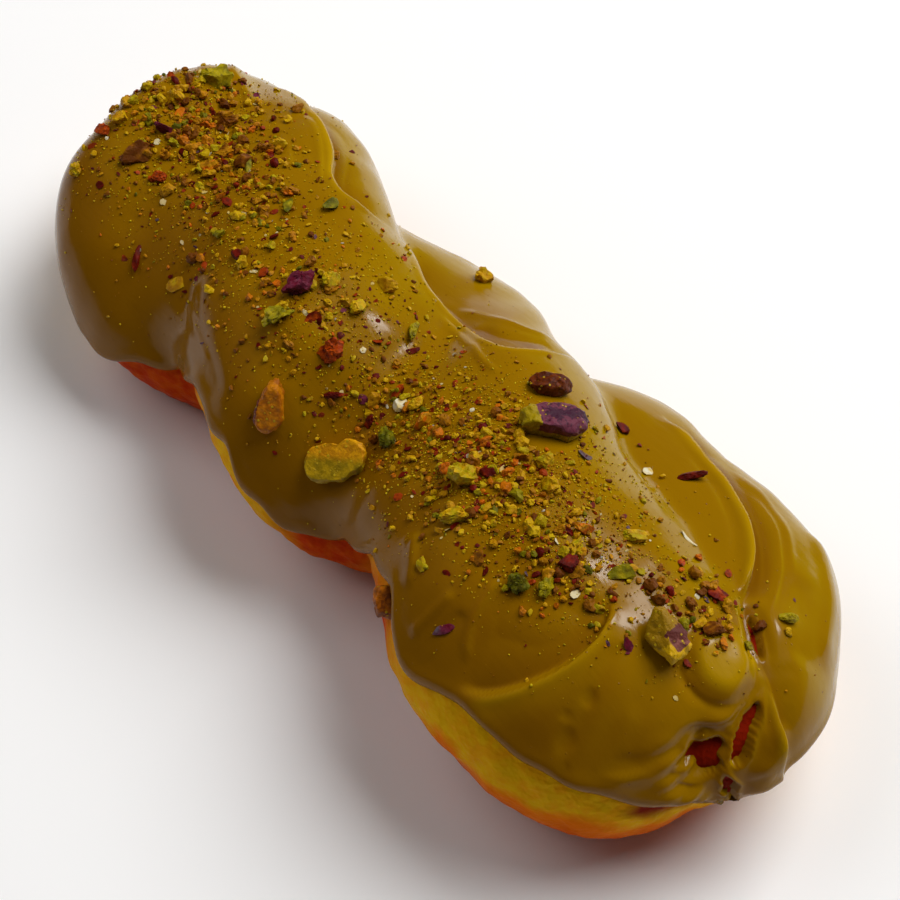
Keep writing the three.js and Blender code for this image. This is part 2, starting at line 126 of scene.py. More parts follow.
@dataclass(frozen=True)
class Ripple:
    """A smooth random field: the mean of sine waves that run in seeded directions."""

    seed: int
    wavelength: float
    stretch: Point = (1.0, 1.0, 1.0)
    waves: int = 14

    def __call__(self, points: Array) -> Array:
        """The field at each point, mostly between -1 and 1.

        Args:
            points: places in millimetres, with x, y and z last.

        Returns:
            One value for each point.
        """
        rng = np.random.default_rng(self.seed)
        ways = rng.normal(size=(self.waves, 3))
        ways /= np.linalg.norm(ways, axis=1, keepdims=True)
        ways *= 2 * math.pi / (self.wavelength * rng.uniform(0.6, 1.7, (self.waves, 1)))
        ways /= np.array(self.stretch)
        phase = rng.uniform(0, 2 * math.pi, self.waves)
        total = np.zeros(points.shape[:-1])
        for way, start in zip(ways, phase):
            total += np.sin(points @ way + start)
        return total / math.sqrt(self.waves / 2)


# ---- The wound strands ---------------------------------------------------------------------------


@dataclass(frozen=True)
class Strand:
    """One strand of dough: where on the orbit it starts and how its ends close."""

    phase: float
    far_end: float
    far_cap: float
    near_end: float
    near_cap: float


@dataclass
class TwistForm:
    """The two wound strands as a gauge: below 1 inside the dough and 1 on its surface."""

    half_turns: Knots = (
        (-101, -0.5), (-68, 0.07), (-45.3, 0.5), (-18.5, 1), (4, 1.5), (35, 1.93), (88, 2.36),
    )
    orbit_across: Knots = ((-104, 1.4), (-60, 7.4), (0, 9), (45, 10.5), (90, 11))
    orbit_up: Knots = ((-104, 4), (-60, 6.5), (0, 6.5), (60, 6), (90, 4))
    axis_y: Knots = (
        (-100, 7.4), (-76, 1.3), (-40, 0.2), (-4, -0.3), (15, 2.8), (36, -0.9), (60, -1), (90, -7),
    )
    axis_z: Knots = ((-104, 18.3), (-60, 16.2), (0, 17.5), (50, 18.5), (90, 16.5))
    half_width: Knots = ((-100, 22.6), (-60, 25.2), (-20, 24.8), (14, 26.7), (45, 27.8), (80, 23))
    half_height: Knots = ((-104, 15), (-60, 17.8), (0, 16), (45, 17.6), (80, 17))
    orbit_lean: Knots = ((-95, 0), (-62, 0.05), (-38, 0.2), (0, 0.22))
    taller_on_left: Knots = ((-95, -1), (-62, 0), (-34, 2.5))
    wider_below: float = 1.4
    far_bluntness: float = 3.35
    near_bluntness: float = 2.4
    strands: tuple[Strand, Strand] = (
        Strand(0.0, -77, 22.5, 61, 24),
        Strand(math.pi, -79, 12.9, 55, 24.8),
    )
    dough_blend: float = 0.12
    icing_thickness: float = 1.8
    groove_blend: float = 0.1
    spread_blend: float = 0.42
    spread_across: tuple[float, float] = (12, -4)
    spread_above: tuple[float, float] = (14, 30)
    drip_left: Knots = (
        (-100, 12), (-62, 11), (-52, 14), (-42, 18), (-31, 27), (-20, 27), (-10, 20), (0, 16),
        (8, 20), (17, 29), (27, 32), (36, 28), (50, 31), (65, 28), (78, 24), (90, 18),
    )
    drip_right: Knots = (
        (-100, 14), (-70, 11), (-40, 15), (-15, 11), (10, 15), (45, 11), (75, 13), (90, 16),
    )
    drip_wave: float = 0.45
    drip_wavelength: float = 9.0
    drip_seed: int = 41
    cap_share: float = 0.17
    fan_far: float = -76
    fan_near: float = 62
    pole_height: float = 17
    longest_ray: float = 70
    halvings: int = 26

    def __post_init__(self) -> None:
        """Turns the knots into curves."""
        names = (
            "half_turns", "orbit_across", "orbit_up", "axis_y", "axis_z",
            "half_width", "half_height", "orbit_lean", "taller_on_left", "drip_left", "drip_right",
        )
        self.curves = {name: Curve(getattr(self, name)) for name in names}

    def strand_gauge(self, points: Array, strand: Strand, grow: float) -> Array:
        """An oval that winds about the axis, closed by a blunt cap at each end.

        The oval's own gauge is hypot(across / width, up / height); past an end, the overshoot as
        a share of the cap's length joins it as the root of the sum of their powers.

        Args:
            points: places in millimetres, with x, y and z last.
            strand: which strand.
            grow: how much larger than the dough, in millimetres.

        Returns:
            The gauge at each point.
        """
        x, y, z = np.moveaxis(points, -1, 0)
        curve = self.curves
        turned = math.pi * curve["half_turns"](x) + strand.phase
        across = y - curve["axis_y"](x) - curve["orbit_across"](x) * np.cos(turned)
        lean = math.pi * curve["orbit_lean"](x)
        up = z - curve["axis_z"](x) - curve["orbit_up"](x) * np.sin(turned - lean)
        wide = curve["half_width"](x) - self.wider_below * np.sin(turned) + grow
        tall = curve["half_height"](x) - curve["taller_on_left"](x) * np.cos(turned) + grow
        ring = np.hypot(across / wide, up / tall)
        far = np.maximum(strand.far_end - x, 0) / (strand.far_cap + grow)
        near = np.maximum(x - strand.near_end, 0) / (strand.near_cap + grow)
        blunt = np.where(x < 0, self.far_bluntness, self.near_bluntness)
        return (ring**blunt + (far + near) ** blunt) ** (1 / blunt)

    def dough(self, points: Array) -> Array:
        """The dough's gauge: the lesser of the two strands', a little rounded in the grooves."""
        first, second = (self.strand_gauge(points, strand, 0.0) for strand in self.strands)
        return smooth_min(first, second, self.dough_blend)

    def icing(self, points: Array) -> Array:
        """The icing's gauge: larger strands, with the grooves bridged where it was spread.

        Args:
            points: places in millimetres, with x, y and z last.

        Returns:
            The gauge at each point.
        """
        across, above = points[..., 1], points[..., 2]
        spread = smooth_step(*self.spread_across, across) * smooth_step(*self.spread_above, above)
        blend = self.groove_blend + (self.spread_blend - self.groove_blend) * spread
        grow = self.icing_thickness
        first, second = (self.strand_gauge(points, strand, grow) for strand in self.strands)
        return smooth_min(first, second, blend)

    def rays(self, share: Array, angle: Array) -> tuple[Array, Array]:
        """Rays that stand square to the spine along its length and fan round to both poles.

        Args:
            share: how far along, from 0 at the far pole to 1 at the near one.
            angle: round the spine, 0 to the right and a quarter turn upwards.

        Returns:
            Where each ray starts and its unit heading.
        """
        far_turn = np.minimum(share / self.cap_share, 1) * math.pi / 2
        near_turn = np.minimum((1 - share) / self.cap_share, 1) * math.pi / 2
        along = np.clip((share - self.cap_share) / (1 - 2 * self.cap_share), 0, 1)
        forward = np.cos(near_turn) - np.cos(far_turn)
        outward = np.minimum(np.sin(far_turn), np.sin(near_turn))
        zero = np.zeros_like(along)
        start_x = self.fan_far + (self.fan_near - self.fan_far) * along
        start = np.stack([start_x, zero, zero + self.pole_height], -1)
        heading = np.stack([forward, outward * np.cos(angle), outward * np.sin(angle)], -1)
        return start, heading

    def reach(self, gauge: Callable[[Array], Array], start: Array, heading: Array) -> Array:
        """How far along each ray the gauge passes 1, by halving.

        Args:
            gauge: the method that gives the gauge at points.
            start: where each ray starts.
            heading: each ray's unit heading.

        Returns:
            One distance for each ray.
        """
        inside = np.zeros(start.shape[:-1])
        outside = np.full(start.shape[:-1], self.longest_ray)
        for _ in range(self.halvings):
            middle = (inside + outside) / 2
            within = gauge(start + heading * middle[..., None]) < 1
            inside = np.where(within, middle, inside)
            outside = np.where(within, outside, middle)
        return inside

    def drip_height(self, x: Array, side: int) -> Array:
        """How high the drip edge runs at x, a little wavy.

        Args:
            x: places along the twist.
            side: 1 for the right side and -1 for the left.

        Returns:
            Heights in millimetres.
        """
        drip = self.curves["drip_right" if side > 0 else "drip_left"](x)
        still = np.zeros_like(x)
        ripple = Ripple(self.drip_seed + side, self.drip_wavelength, waves=9)
        return drip + self.drip_wave * ripple(np.stack([x, still, still], -1))

    def drip_angle(self, share: Array, side: int) -> Array:
        """The angle, on one side, at which the dough's surface passes the drip edge's height.

        Args:
            share: how far along each ring is.
            side: 1 for the right side and -1 for the left.

        Returns:
            One angle for each ring.
        """
        low = np.full(share.shape, -math.pi / 2)
        high = np.full(share.shape, math.pi / 2)
        for _ in range(self.halvings):
            middle = (low + high) / 2
            start, heading = self.rays(share, middle if side > 0 else math.pi - middle)
            point = start + heading * self.reach(self.dough, start, heading)[..., None]
            openness = heading[..., 1] ** 2 + heading[..., 2] ** 2
            drop = self.drip_height(point[..., 0], side) - self.pole_height
            below = point[..., 2] < self.pole_height + drop * openness
            low = np.where(below, middle, low)
            high = np.where(below, high, middle)
        return low if side > 0 else math.pi - low


# ---- Spatula and spoon marks ---------------------------------------------------------------------

# How many widths from its line a mark still counts.
REACH_IN_WIDTHS = 3


@dataclass(frozen=True)
class Line:
    """A smooth line on the plan, from which places are measured."""

    points: Knots

    STEPS = 56

    def fine(self) -> Array:
        """The line as many short steps: cubic curves through its points by length along them."""
        points = np.array(self.points, float)
        length = np.concatenate([[0], np.cumsum(np.linalg.norm(np.diff(points, axis=0), axis=1))])
        along = np.linspace(0, length[-1], self.STEPS)
        tangent = np.gradient(points, length, axis=0)
        i = np.clip(np.searchsorted(length, along, side="right") - 1, 0, len(length) - 2)
        step = np.diff(length)[i][:, None]
        t = (along[:, None] - length[i][:, None]) / step
        u = 1 - t
        return (
            (1 + 2 * t) * u * u * points[i]
            + t * u * u * step * tangent[i]
            + t * t * (3 - 2 * t) * points[i + 1]
            - t * t * u * step * tangent[i + 1]
        )

    def measure(self, x: Array, y: Array, reach: float) -> tuple[Array, Array, Array]:
        """Measures the places that lie near the line.

        Args:
            x: places along the twist.
            y: places across it.
            reach: how far from the line still counts, in millimetres.

        Returns:
            Which places are near, their distance to the line, positive on its left, and how far
            along it their nearest point is, from 0 to 1.
        """
        line = self.fine()
        low, high = line.min(0) - reach, line.max(0) + reach
        near = (x > low[0]) & (x < high[0]) & (y > low[1]) & (y < high[1])
        place = np.stack([x[near], y[near]], -1)[:, None, :]
        start, span = line[:-1], np.diff(line, axis=0)
        offset = place - start
        t = np.clip((offset * span).sum(-1) / (span**2).sum(-1), 0, 1)
        away = offset - t[..., None] * span
        distance = np.linalg.norm(away, axis=-1)
        best = distance.argmin(1)
        row = np.arange(len(best))
        side = span[best, 0] * away[row, best, 1] - span[best, 1] * away[row, best, 0]
        share = (best + t[row, best]) / len(start)
        return near, np.where(side > 0, 1.0, -1.0) * distance[row, best], share


@dataclass(frozen=True)
class Stroke:
    """A crest along a line on the plan, or a furrow where its height is negative.

    The left width is its softness on the left of its direction and the right width on the right,
    so that a crest can rise slowly and break off sharply.
    """

    points: Knots
    height: float
    left: float
    right: float
    fade: float = 0.18

    def __call__(self, x: Array, y: Array) -> Array:
        """How far the mark raises the icing at each place on the plan.

        Args:
            x: places along the twist.
            y: places across it.

        Returns:
            Height times a bell of the distance to the line, fading out at both ends.
        """
        reach = REACH_IN_WIDTHS * max(self.left, self.right)
        near, distance, share = Line(self.points).measure(x, y, reach)
        fade = smooth_step(0, self.fade, share) * smooth_step(0, self.fade, 1 - share)
        raised = np.zeros_like(x)
        width = np.where(distance > 0, self.left, self.right)
        raised[near] = self.height * bell(distance, width) * fade
        return raised


@dataclass(frozen=True)
class Shelf:
    """The broken edge of a thick layer: high on the right of its direction and low on the left.

    The layer swells towards the edge over the inner width, ends there in a rounded bead and drops
    within the edge's own width, and the ground beyond it recovers over the outer width.
    """

    points: Knots
    height: float
    drop: float
    inner: float
    outer: float
    edge: float = 0.55
    bead: float = 0.35
    fade: float = 0.16

    BEAD_PLACE = 0.9
    BEAD_WIDTH = 0.8

    def __call__(self, x: Array, y: Array) -> Array:
        """How far the mark raises the icing at each place on the plan.

        Args:
            x: places along the twist.
            y: places across it.

        Returns:
            The swell and bead on the high side and minus the drop on the low one.
        """
        reach = REACH_IN_WIDTHS * max(self.inner, self.outer)
        near, distance, share = Line(self.points).measure(x, y, reach)
        fade = smooth_step(0, self.fade, share) * smooth_step(0, self.fade, 1 - share)
        high = smooth_step(self.edge, -self.edge, distance)
        bead = self.bead * bell(distance + self.BEAD_PLACE, self.BEAD_WIDTH)
        swell = self.height * bell(distance, self.inner) + bead
        sink = self.drop * bell(distance, self.outer)
        raised = np.zeros_like(x)
        raised[near] = (swell * high - sink * (1 - high)) * fade
        return raised


@dataclass(frozen=True)
class Hollow:
    """A shallow dish pressed into the icing, or a bulge where its depth is negative."""

    x: float
    y: float
    along: float
    across: float
    depth: float
    turn: float = 0.0
    rim: float = 0.55

    def __call__(self, x: Array, y: Array) -> Array:
        """How far it raises the icing: minus its depth inside, rising to nothing at its rim.

        Args:
            x: places along the twist.
            y: places across it.

        Returns:
            One height for each place.
        """
        cos, sin = math.cos(self.turn), math.sin(self.turn)
        u = (x - self.x) * cos + (y - self.y) * sin
        v = (y - self.y) * cos - (x - self.x) * sin
        away = np.hypot(u / self.along, v / self.across)
        return -self.depth * (1 - smooth_step(self.rim, 1, away))


@dataclass(frozen=True)
class Tear:
    """A lens-shaped place where the icing tore open down to the dough, from one end to the other.

    Its width is half its breadth, its rim the height of the lip round it, and its spread how far
    beyond it the icing thins.
    """

    start: Point
    end: Point
    width: float
    rim: float = 0.5
    ragged: float = 0.13
    spread: float = 2.4

    HEIGHT_SHARE = 0.3
    RAGGEDNESS = Ripple(77, 3.2)

    def away(self, points: Array) -> Array:
        """How far each point is from its middle, as a share of its half length and half width.

        Heights count for less than places on the plan, because the opening runs down a slope.

        Args:
            points: places in millimetres, with x, y and z last.

        Returns:
            1 on the tear's edge, less inside it and more outside, a little ragged.
        """
        scale = np.array([1.0, 1.0, self.HEIGHT_SHARE])
        start, end = np.array(self.start) * scale, np.array(self.end) * scale
        half = np.linalg.norm(end - start) / 2
        way = (end - start) / (2 * half)
        offset = points * scale - (start + end) / 2
        along = offset @ way
        across = np.linalg.norm(offset - along[..., None] * way, axis=-1)
        share = np.hypot(along / half, across / self.width)
        return share + self.ragged * self.RAGGEDNESS(points)


MARKS: tuple[Stroke | Shelf | Hollow, ...] = (
    # The plateau's right edge beside the far lobe, with finer crests inside it.
    Shelf(((-86, 27), (-76, 26.3), (-68, 24.4), (-59, 21.8), (-53, 18.8), (-47, 14), (-43, 12.6),
           (-39, 13.8), (-35, 18)), 0.9, 1.4, 6.0, 3.5),
    Stroke(((-70, 23.4), (-64, 22.2), (-58, 20), (-52, 16.4), (-47, 12)), 0.4, 0.45, 0.6),
    Stroke(((-68, 21.6), (-62, 20.3), (-56, 17.5), (-51, 14), (-47, 10.5)), 0.35, 0.45, 0.6),
    Stroke(((-64, 14.5), (-59, 12.5), (-54, 9)), 0.25, 0.6, 0.8),
    Stroke(((-93, 23.5), (-88, 20.5), (-83, 18.7), (-78, 16.6), (-74, 14.6)), 0.9, 2.4, 0.9),
    Stroke(((-94, 14), (-90, 13), (-86, 11)), -0.8, 1.6, 1.6),
    # The same edge beside the middle lobe, and its glossy valley.
    Shelf(((-36, 22), (-30, 18.6), (-24, 15.4), (-19, 13.7), (-13, 13.5), (-7, 12.5), (-1, 11.4),
           (3, 12.4), (5, 15.5), (7, 20), (8, 25)), 0.8, 1.6, 5.0, 4.0),
    Stroke(((-14, 11.3), (-8, 10.3), (-2, 8.6), (3, 7), (9, 6.6)), 0.4, 0.5, 0.9),
    Stroke(((-8, 15.6), (-3, 15.6), (2, 18.4), (5, 23)), -0.7, 1.4, 1.4),
    Stroke(((-16, 17.5), (-8, 18.4), (-2, 20.6), (3, 25)), 0.55, 0.8, 0.8),
    # The crest of the near groove and the fine ones that run beside it.
    Shelf(((22, 33), (29, 32), (35, 30.6), (42, 29), (50, 25.6), (57, 21), (61.5, 16), (64, 11.5),
           (65.4, 8.5)), 0.7, 2.0, 4.5, 4.5, 0.6, 0.75),
    Stroke(((32, 28.6), (40, 27), (48, 23.6), (54.5, 18.8), (59, 13.6)), -0.35, 0.8, 0.8),
    Stroke(((40, 31.6), (49, 28.6), (56, 24.4), (62, 18.6), (66, 13.5)), 0.5, 0.5, 0.6),
    Stroke(((46, 32), (54, 28.8), (61, 23.6), (66.5, 17), (69, 12)), 0.55, 0.5, 0.6),
    Stroke(((38, 34.6), (48, 32.8), (58, 28.4), (66, 21.6)), 0.4, 0.7, 0.7),
    Shelf(((65.5, 12.5), (68, 8.2), (73, 6), (78, 4.4), (84, 1.6), (88, -1)), 0.5, 1.2, 3, 2.5, 0.5, 0.5),
    Stroke(((57, 34.5), (66, 29.5), (74, 22.5), (80, 15)), 0.7, 1.6, 1.0),
    Stroke(((66, 24), (73, 17.5), (79, 10.5)), -0.5, 2.4, 2.4),
    # Spoon marks on the near lobe: the step at the right of the scoop and the ridge at its left.
    Shelf(((46, -36), (50, -34), (53, -31), (55.4, -26.8), (56.8, -22.8), (57.5, -18.5), (57, -14.6),
           (55.3, -11.2), (53, -8.6)), 0.9, 1.3, 8.0, 7.0, 0.6, 0.25, 0.2),
    Stroke(((39.5, -20.5), (40.6, -24.4), (41.4, -27.6), (43, -30.6), (45.7, -33.2)), 0.55, 0.5, 0.8),
    Stroke(((39.7, -28), (39.3, -33), (38.7, -38)), -0.6, 1.0, 1.0),
    Stroke(((36, -27), (35.5, -31), (34.5, -36)), 0.45, 0.8, 0.8),
    Stroke(((59.5, -12.5), (61.7, -17.7), (63.5, -22.3), (64.9, -26.6), (66, -30.7)), -0.45, 1.6, 1.6),
    Stroke(((68, -16), (70, -22), (70.5, -28), (69.5, -33)), 0.25, 1.8, 1.2),
    Hollow(63.2, -22, 1.3, 2.0, 0.4, 0.2, 0.25),
    Hollow(62.6, -26.2, 1.0, 1.2, 0.3, 0.0, 0.25),
    Hollow(64.8, -28.6, 1.6, 2.4, 0.45, 0.3, 0.25),
    Hollow(67.4, -30.6, 0.9, 1.2, 0.3, 0.0, 0.25),
    # The glossy bulge beside the near crease.
    Hollow(71, -0.4, 6.8, 8.0, -1.3, 0.5, 0.4),
    Stroke(((65.5, -6), (70, -8.2), (75, -7), (78, -2), (77.6, 3.4)), -0.4, 0.8, 1.0),
    Stroke(((65, 11.4), (67.5, 10), (70.5, 8), (74, 5.8)), -1.5, 1.5, 1.5, 0.1),
    Stroke(((64, 9.6), (67.5, 7.2), (71, 5.6), (75.5, 3.8)), 0.6, 0.8, 1.0),
    Stroke(((76.8, -15.5), (78, -10), (79.4, -5), (80, 0)), 0.45, 1.0, 1.6),
    Stroke(((83.5, 3.6), (86, -2), (86.6, -8)), 0.7, 1.2, 0.9),
    Stroke(((71, -28), (73.6, -25), (75.4, -22), (77, -18.6)), 0.8, 0.5, 1.1, 0.5),
    Stroke(((70.4, -26.4), (72.6, -23.4), (74.6, -20.2), (76, -17.2)), -0.3, 0.8, 0.8, 0.5),
    # The soft grooves between the lobes on the left.
    Stroke(((8, 3), (12, -9), (18, -18), (25, -28)), -0.7, 4.0, 4.0),
    Stroke(((-50, -18), (-44, -22), (-38, -25), (-30, -28), (-22, -31)), -0.7, 1.6, 2.2),
    Stroke(((-47, -20.5), (-38, -24.8), (-30, -28)), 0.35, 0.5, 0.8),
    Stroke(((22, -24), (26, -27.4), (29, -31)), 0.6, 0.8, 1.4),
)

TEARS: tuple[Tear, ...] = (
    Tear((78.4, -15, 25), (82.6, -8.8, 25), 2.5, 0.6, 0.18),
    Tear((80.4, 0.8, 32), (84.6, -8.6, 27), 1.35, 0.4, 0.06),
    Tear((67.6, 9.8, 34.2), (74, 6, 33.2), 0.8, 0.15, 0.05, 1.4),
    Tear((83.8, -10.4, 24), (86.4, -9.4, 17), 1.3, 0.3),
)


def relief(points: Array) -> Array:
    """How far all marks together raise the icing at points."""
    x, y = points[..., 0], points[..., 1]
    return sum((mark(x, y) for mark in MARKS), np.zeros_like(x))


# ---- Meshes --------------------------------------------------------------------------------------


@dataclass
class Placement:
    """The shift from the twist's own frame to the CAD frame, in millimetres."""

    shift: Array

    def to_frame(self, points: Array) -> Array:
        """Points in metres in the CAD frame."""
        return (points + self.shift) * MM


def loop_faces(rings: int, columns: int) -> Faces:
    """Faces of a closed surface of rings between two poles, which are its first and last points.

    Args:
        rings: how many rings there are.
        columns: how many points each ring has.

    Returns:
        Triangles at the poles and quads between the rings.
    """
    ring = np.arange(rings * columns).reshape(rings, columns) + 1
    nxt = np.roll(ring, -1, axis=1)
    quads = np.stack([ring[:-1], nxt[:-1], nxt[1:], ring[1:]], -1).reshape(-1, 4)
    first = np.stack([np.zeros(columns, int), nxt[0], ring[0]], -1)
    last = np.stack([ring[-1], nxt[-1], np.full(columns, rings * columns + 1)], -1)
    return first.tolist() + quads.tolist() + last.tolist()


def signed_volume(points: Array, faces: Faces) -> float:
    """Six times the volume inside the faces, positive where they face outwards.

    Args:
        points: the corners' places.
        faces: triangles and quads of indices.

    Returns:
        The sum of each face's corner products, as a quad's is that of its two triangles.
    """
    corners = np.array([[face[0], face[1], face[2], face[-1]] for face in faces])
    a, b, c, d = (points[corners[:, i]] for i in range(4))
    first = (a * np.cross(b, c)).sum()
    second = np.where((corners[:, 2] != corners[:, 3])[:, None], a * np.cross(c, d), 0.0).sum()
    return float(first + second)


def add_mesh(name: str, points: Array, faces: Faces, smooth: bool) -> bpy.types.Object:
    """A new object at the origin from points in metres, with its faces outwards.

    Args:
        name: the piece's name.
        points: its points, in metres in the CAD frame.
        faces: the indices round each face.
        smooth: whether its shading is smooth.

    Returns:
        The new object, linked to the scene.
    """
    if signed_volume(points - points.mean(0), faces) < 0:
        faces = [face[::-1] for face in faces]
    mesh = bpy.data.meshes.new(name)
    mesh.from_pydata(points.tolist(), [], faces)
    mesh.polygons.foreach_set("use_smooth", np.full(len(faces), smooth))
    mesh.update()
    piece = bpy.data.objects.new(name, mesh)
    bpy.context.scene.collection.objects.link(piece)
    return piece


def add_values(piece: bpy.types.Object, name: str, values: Array) -> None:
    """Keeps one number for each point of a piece, for its material to read."""
    layer = piece.data.attributes.new(name, "FLOAT", "POINT")
    layer.data.foreach_set("value", values.astype(np.float32).ravel())


# ---- Materials -----------------------------------------------------------------------------------


def tint(red: float, green: float, blue: float) -> Colour:
    """A linear colour from screen values of 0 to 255.

    Args:
        red: the screen value of red.
        green: the screen value of green.
        blue: the screen value of blue.

    Returns:
        Linear red, green and blue, and an alpha of 1.
    """
    part = np.array([red, green, blue]) / 255
    linear = np.where(part <= 0.04045, part / 12.92, ((part + 0.055) / 1.055) ** 2.4)
    return (*linear.tolist(), 1.0)


class Finish:
    """A material's node tree, built step by step."""

    # Where the colour version of Blender's mix node has its factor, two colours and result.
    MIX_INPUTS = (0, 6, 7)
    MIX_OUTPUT = 2

    def __init__(self, name: str, roughness: float = 0.5) -> None:
        """Starts a material with a plain shader.

        Args:
            name: the material's name.
            roughness: the shader's roughness until something else is linked.
        """
        self.material = bpy.data.materials.new(name)
        self.material.use_nodes = True
        self.tree = self.material.node_tree
        self.shader = self.tree.nodes["Principled BSDF"]
        self.shader.inputs["Roughness"].default_value = roughness
        self.coordinates = self.tree.nodes.new("ShaderNodeTexCoord").outputs["Object"]

    def node(self, kind: str, **settings: str) -> bpy.types.Node:
        """A new node with its settings.

        Args:
            kind: Blender's name for the kind of node.
            **settings: the node's own settings by name.

        Returns:
            The node.
        """
        made = self.tree.nodes.new(kind)
        for key, value in settings.items():
            setattr(made, key, value)
        return made

    def link(self, output: Socket, target: Socket) -> None:
        """Joins an output to an input socket."""
        self.tree.links.new(output, target)

    def feed(self, target: Socket, value: Value) -> None:
        """Sets an input to a number or colour, or joins a socket to it.

        Args:
            target: the input.
            value: a number, a linear colour or an output socket.
        """
        if isinstance(value, (int, float, tuple)):
            target.default_value = value
        else:
            self.link(value, target)

    def attribute(self, name: str) -> Socket:
        """The number that a piece keeps under that name at each point."""
        return self.node("ShaderNodeAttribute", attribute_name=name).outputs["Fac"]

    def stretched(self, scale: Point, turn: float) -> Socket:
        """Object coordinates scaled along each axis and turned about Z.

        Args:
            scale: the scale along each axis.
            turn: the turn in radians.

        Returns:
            The coordinates' socket.
        """
        mapping = self.node("ShaderNodeMapping", vector_type="POINT")
        mapping.inputs["Scale"].default_value = scale
        mapping.inputs["Rotation"].default_value = (0, 0, turn)
        self.link(self.coordinates, mapping.inputs["Vector"])
        return mapping.outputs["Vector"]

    def noise(
        self, size: float, detail: float, vector: Socket | None = None, distortion: float = 0.0
    ) -> Socket:
        """Cloudy noise from 0 to 1.

        Args:
            size: about how large its features are, in metres.
            detail: how many finer layers it has.
            vector: its coordinates, or none for the object's own.
            distortion: how far it's swirled.

        Returns:
            The noise's socket.
        """
        made = self.node("ShaderNodeTexNoise")
        made.inputs["Scale"].default_value = 1 / size
        made.inputs["Detail"].default_value = detail
        made.inputs["Distortion"].default_value = distortion
        self.link(vector or self.coordinates, made.inputs["Vector"])
        return made.outputs["Fac"]

    def cells(self, size: float) -> Socket:
        """Distance to the nearest of scattered spots.

        Args:
            size: about how far apart the spots are, in metres.

        Returns:
            The distance's socket, as a share of that size.
        """
        made = self.node("ShaderNodeTexVoronoi")
        made.inputs["Scale"].default_value = 1 / size
        self.link(self.coordinates, made.inputs["Vector"])
        return made.outputs["Distance"]

    def range(
        self, value: Socket, low: float, high: float, to_low: float = 0.0, to_high: float = 1.0
    ) -> Socket:
        """A value's range mapped smoothly to another one and held beyond its ends.

        Args:
            value: the value's socket.
            low: where the range starts.
            high: where it ends.
            to_low: what its start becomes.
            to_high: what its end becomes.

        Returns:
            The result's socket.
        """
        made = self.node("ShaderNodeMapRange", interpolation_type="SMOOTHSTEP")
        self.link(value, made.inputs["Value"])
        ends = {"From Min": low, "From Max": high, "To Min": to_low, "To Max": to_high}
        for key, number in ends.items():
            made.inputs[key].default_value = number
        return made.outputs["Result"]

    def math(self, operation: str, first: Value, second: Value) -> Socket:
        """Two values joined.

        Args:
            operation: ADD or MULTIPLY.
            first: a socket or a number.
            second: a socket or a number.

        Returns:
            The result's socket.
        """
        made = self.node("ShaderNodeMath", operation=operation)
        for target, value in zip(made.inputs, (first, second)):
            self.feed(target, value)
        return made.outputs[0]

    def mix(self, factor: Value, first: Value, second: Value) -> Socket:
        """A colour between two others.

        Args:
            factor: how much of the second, from 0 to 1.
            first: a socket or a linear colour.
            second: a socket or a linear colour.

        Returns:
            The colour's socket.
        """
        made = self.node("ShaderNodeMix", data_type="RGBA")
        for number, value in zip(self.MIX_INPUTS, (factor, first, second)):
            self.feed(made.inputs[number], value)
        return made.outputs[self.MIX_OUTPUT]

    def ramp(self, factor: Socket, stops: list[tuple[float, Colour]]) -> Socket:
        """A colour that runs through stops.

        Args:
            factor: the place between 0 and 1.
            stops: each stop's place and linear colour.

        Returns:
            The colour's socket.
        """
        made = self.node("ShaderNodeValToRGB")
        elements = made.color_ramp.elements
        while len(elements) < len(stops):
            elements.new(0.5)
        for element, (place, colour) in zip(elements, stops):
            element.position = place
            element.color = colour
        self.link(factor, made.inputs["Fac"])
        return made.outputs["Color"]

    def bump(self, height: Socket, distance: float, under: Socket | None = None) -> Socket:
        """A surface normal tilted by a height.

        Args:
            height: the height from 0 to 1.
            distance: how far a height of 1 stands out, in metres.
            under: another bump's normal that this one lies on.

        Returns:
            The normal's socket.
        """
        made = self.node("ShaderNodeBump")
        made.inputs["Distance"].default_value = distance
        made.inputs["Strength"].default_value = 1.0
        self.link(height, made.inputs["Height"])
        if under is not None:
            self.link(under, made.inputs["Normal"])
        return made.outputs["Normal"]

    def colour(self, value: Socket) -> None:
        """Sets the shader's base colour from a socket."""
        self.link(value, self.shader.inputs["Base Color"])

    def set(self, **constants: float) -> None:
        """Sets numbers on the shader's own sockets, with underscores for the spaces in names."""
        for key, value in constants.items():
            self.shader.inputs[key.replace("_", " ")].default_value = value


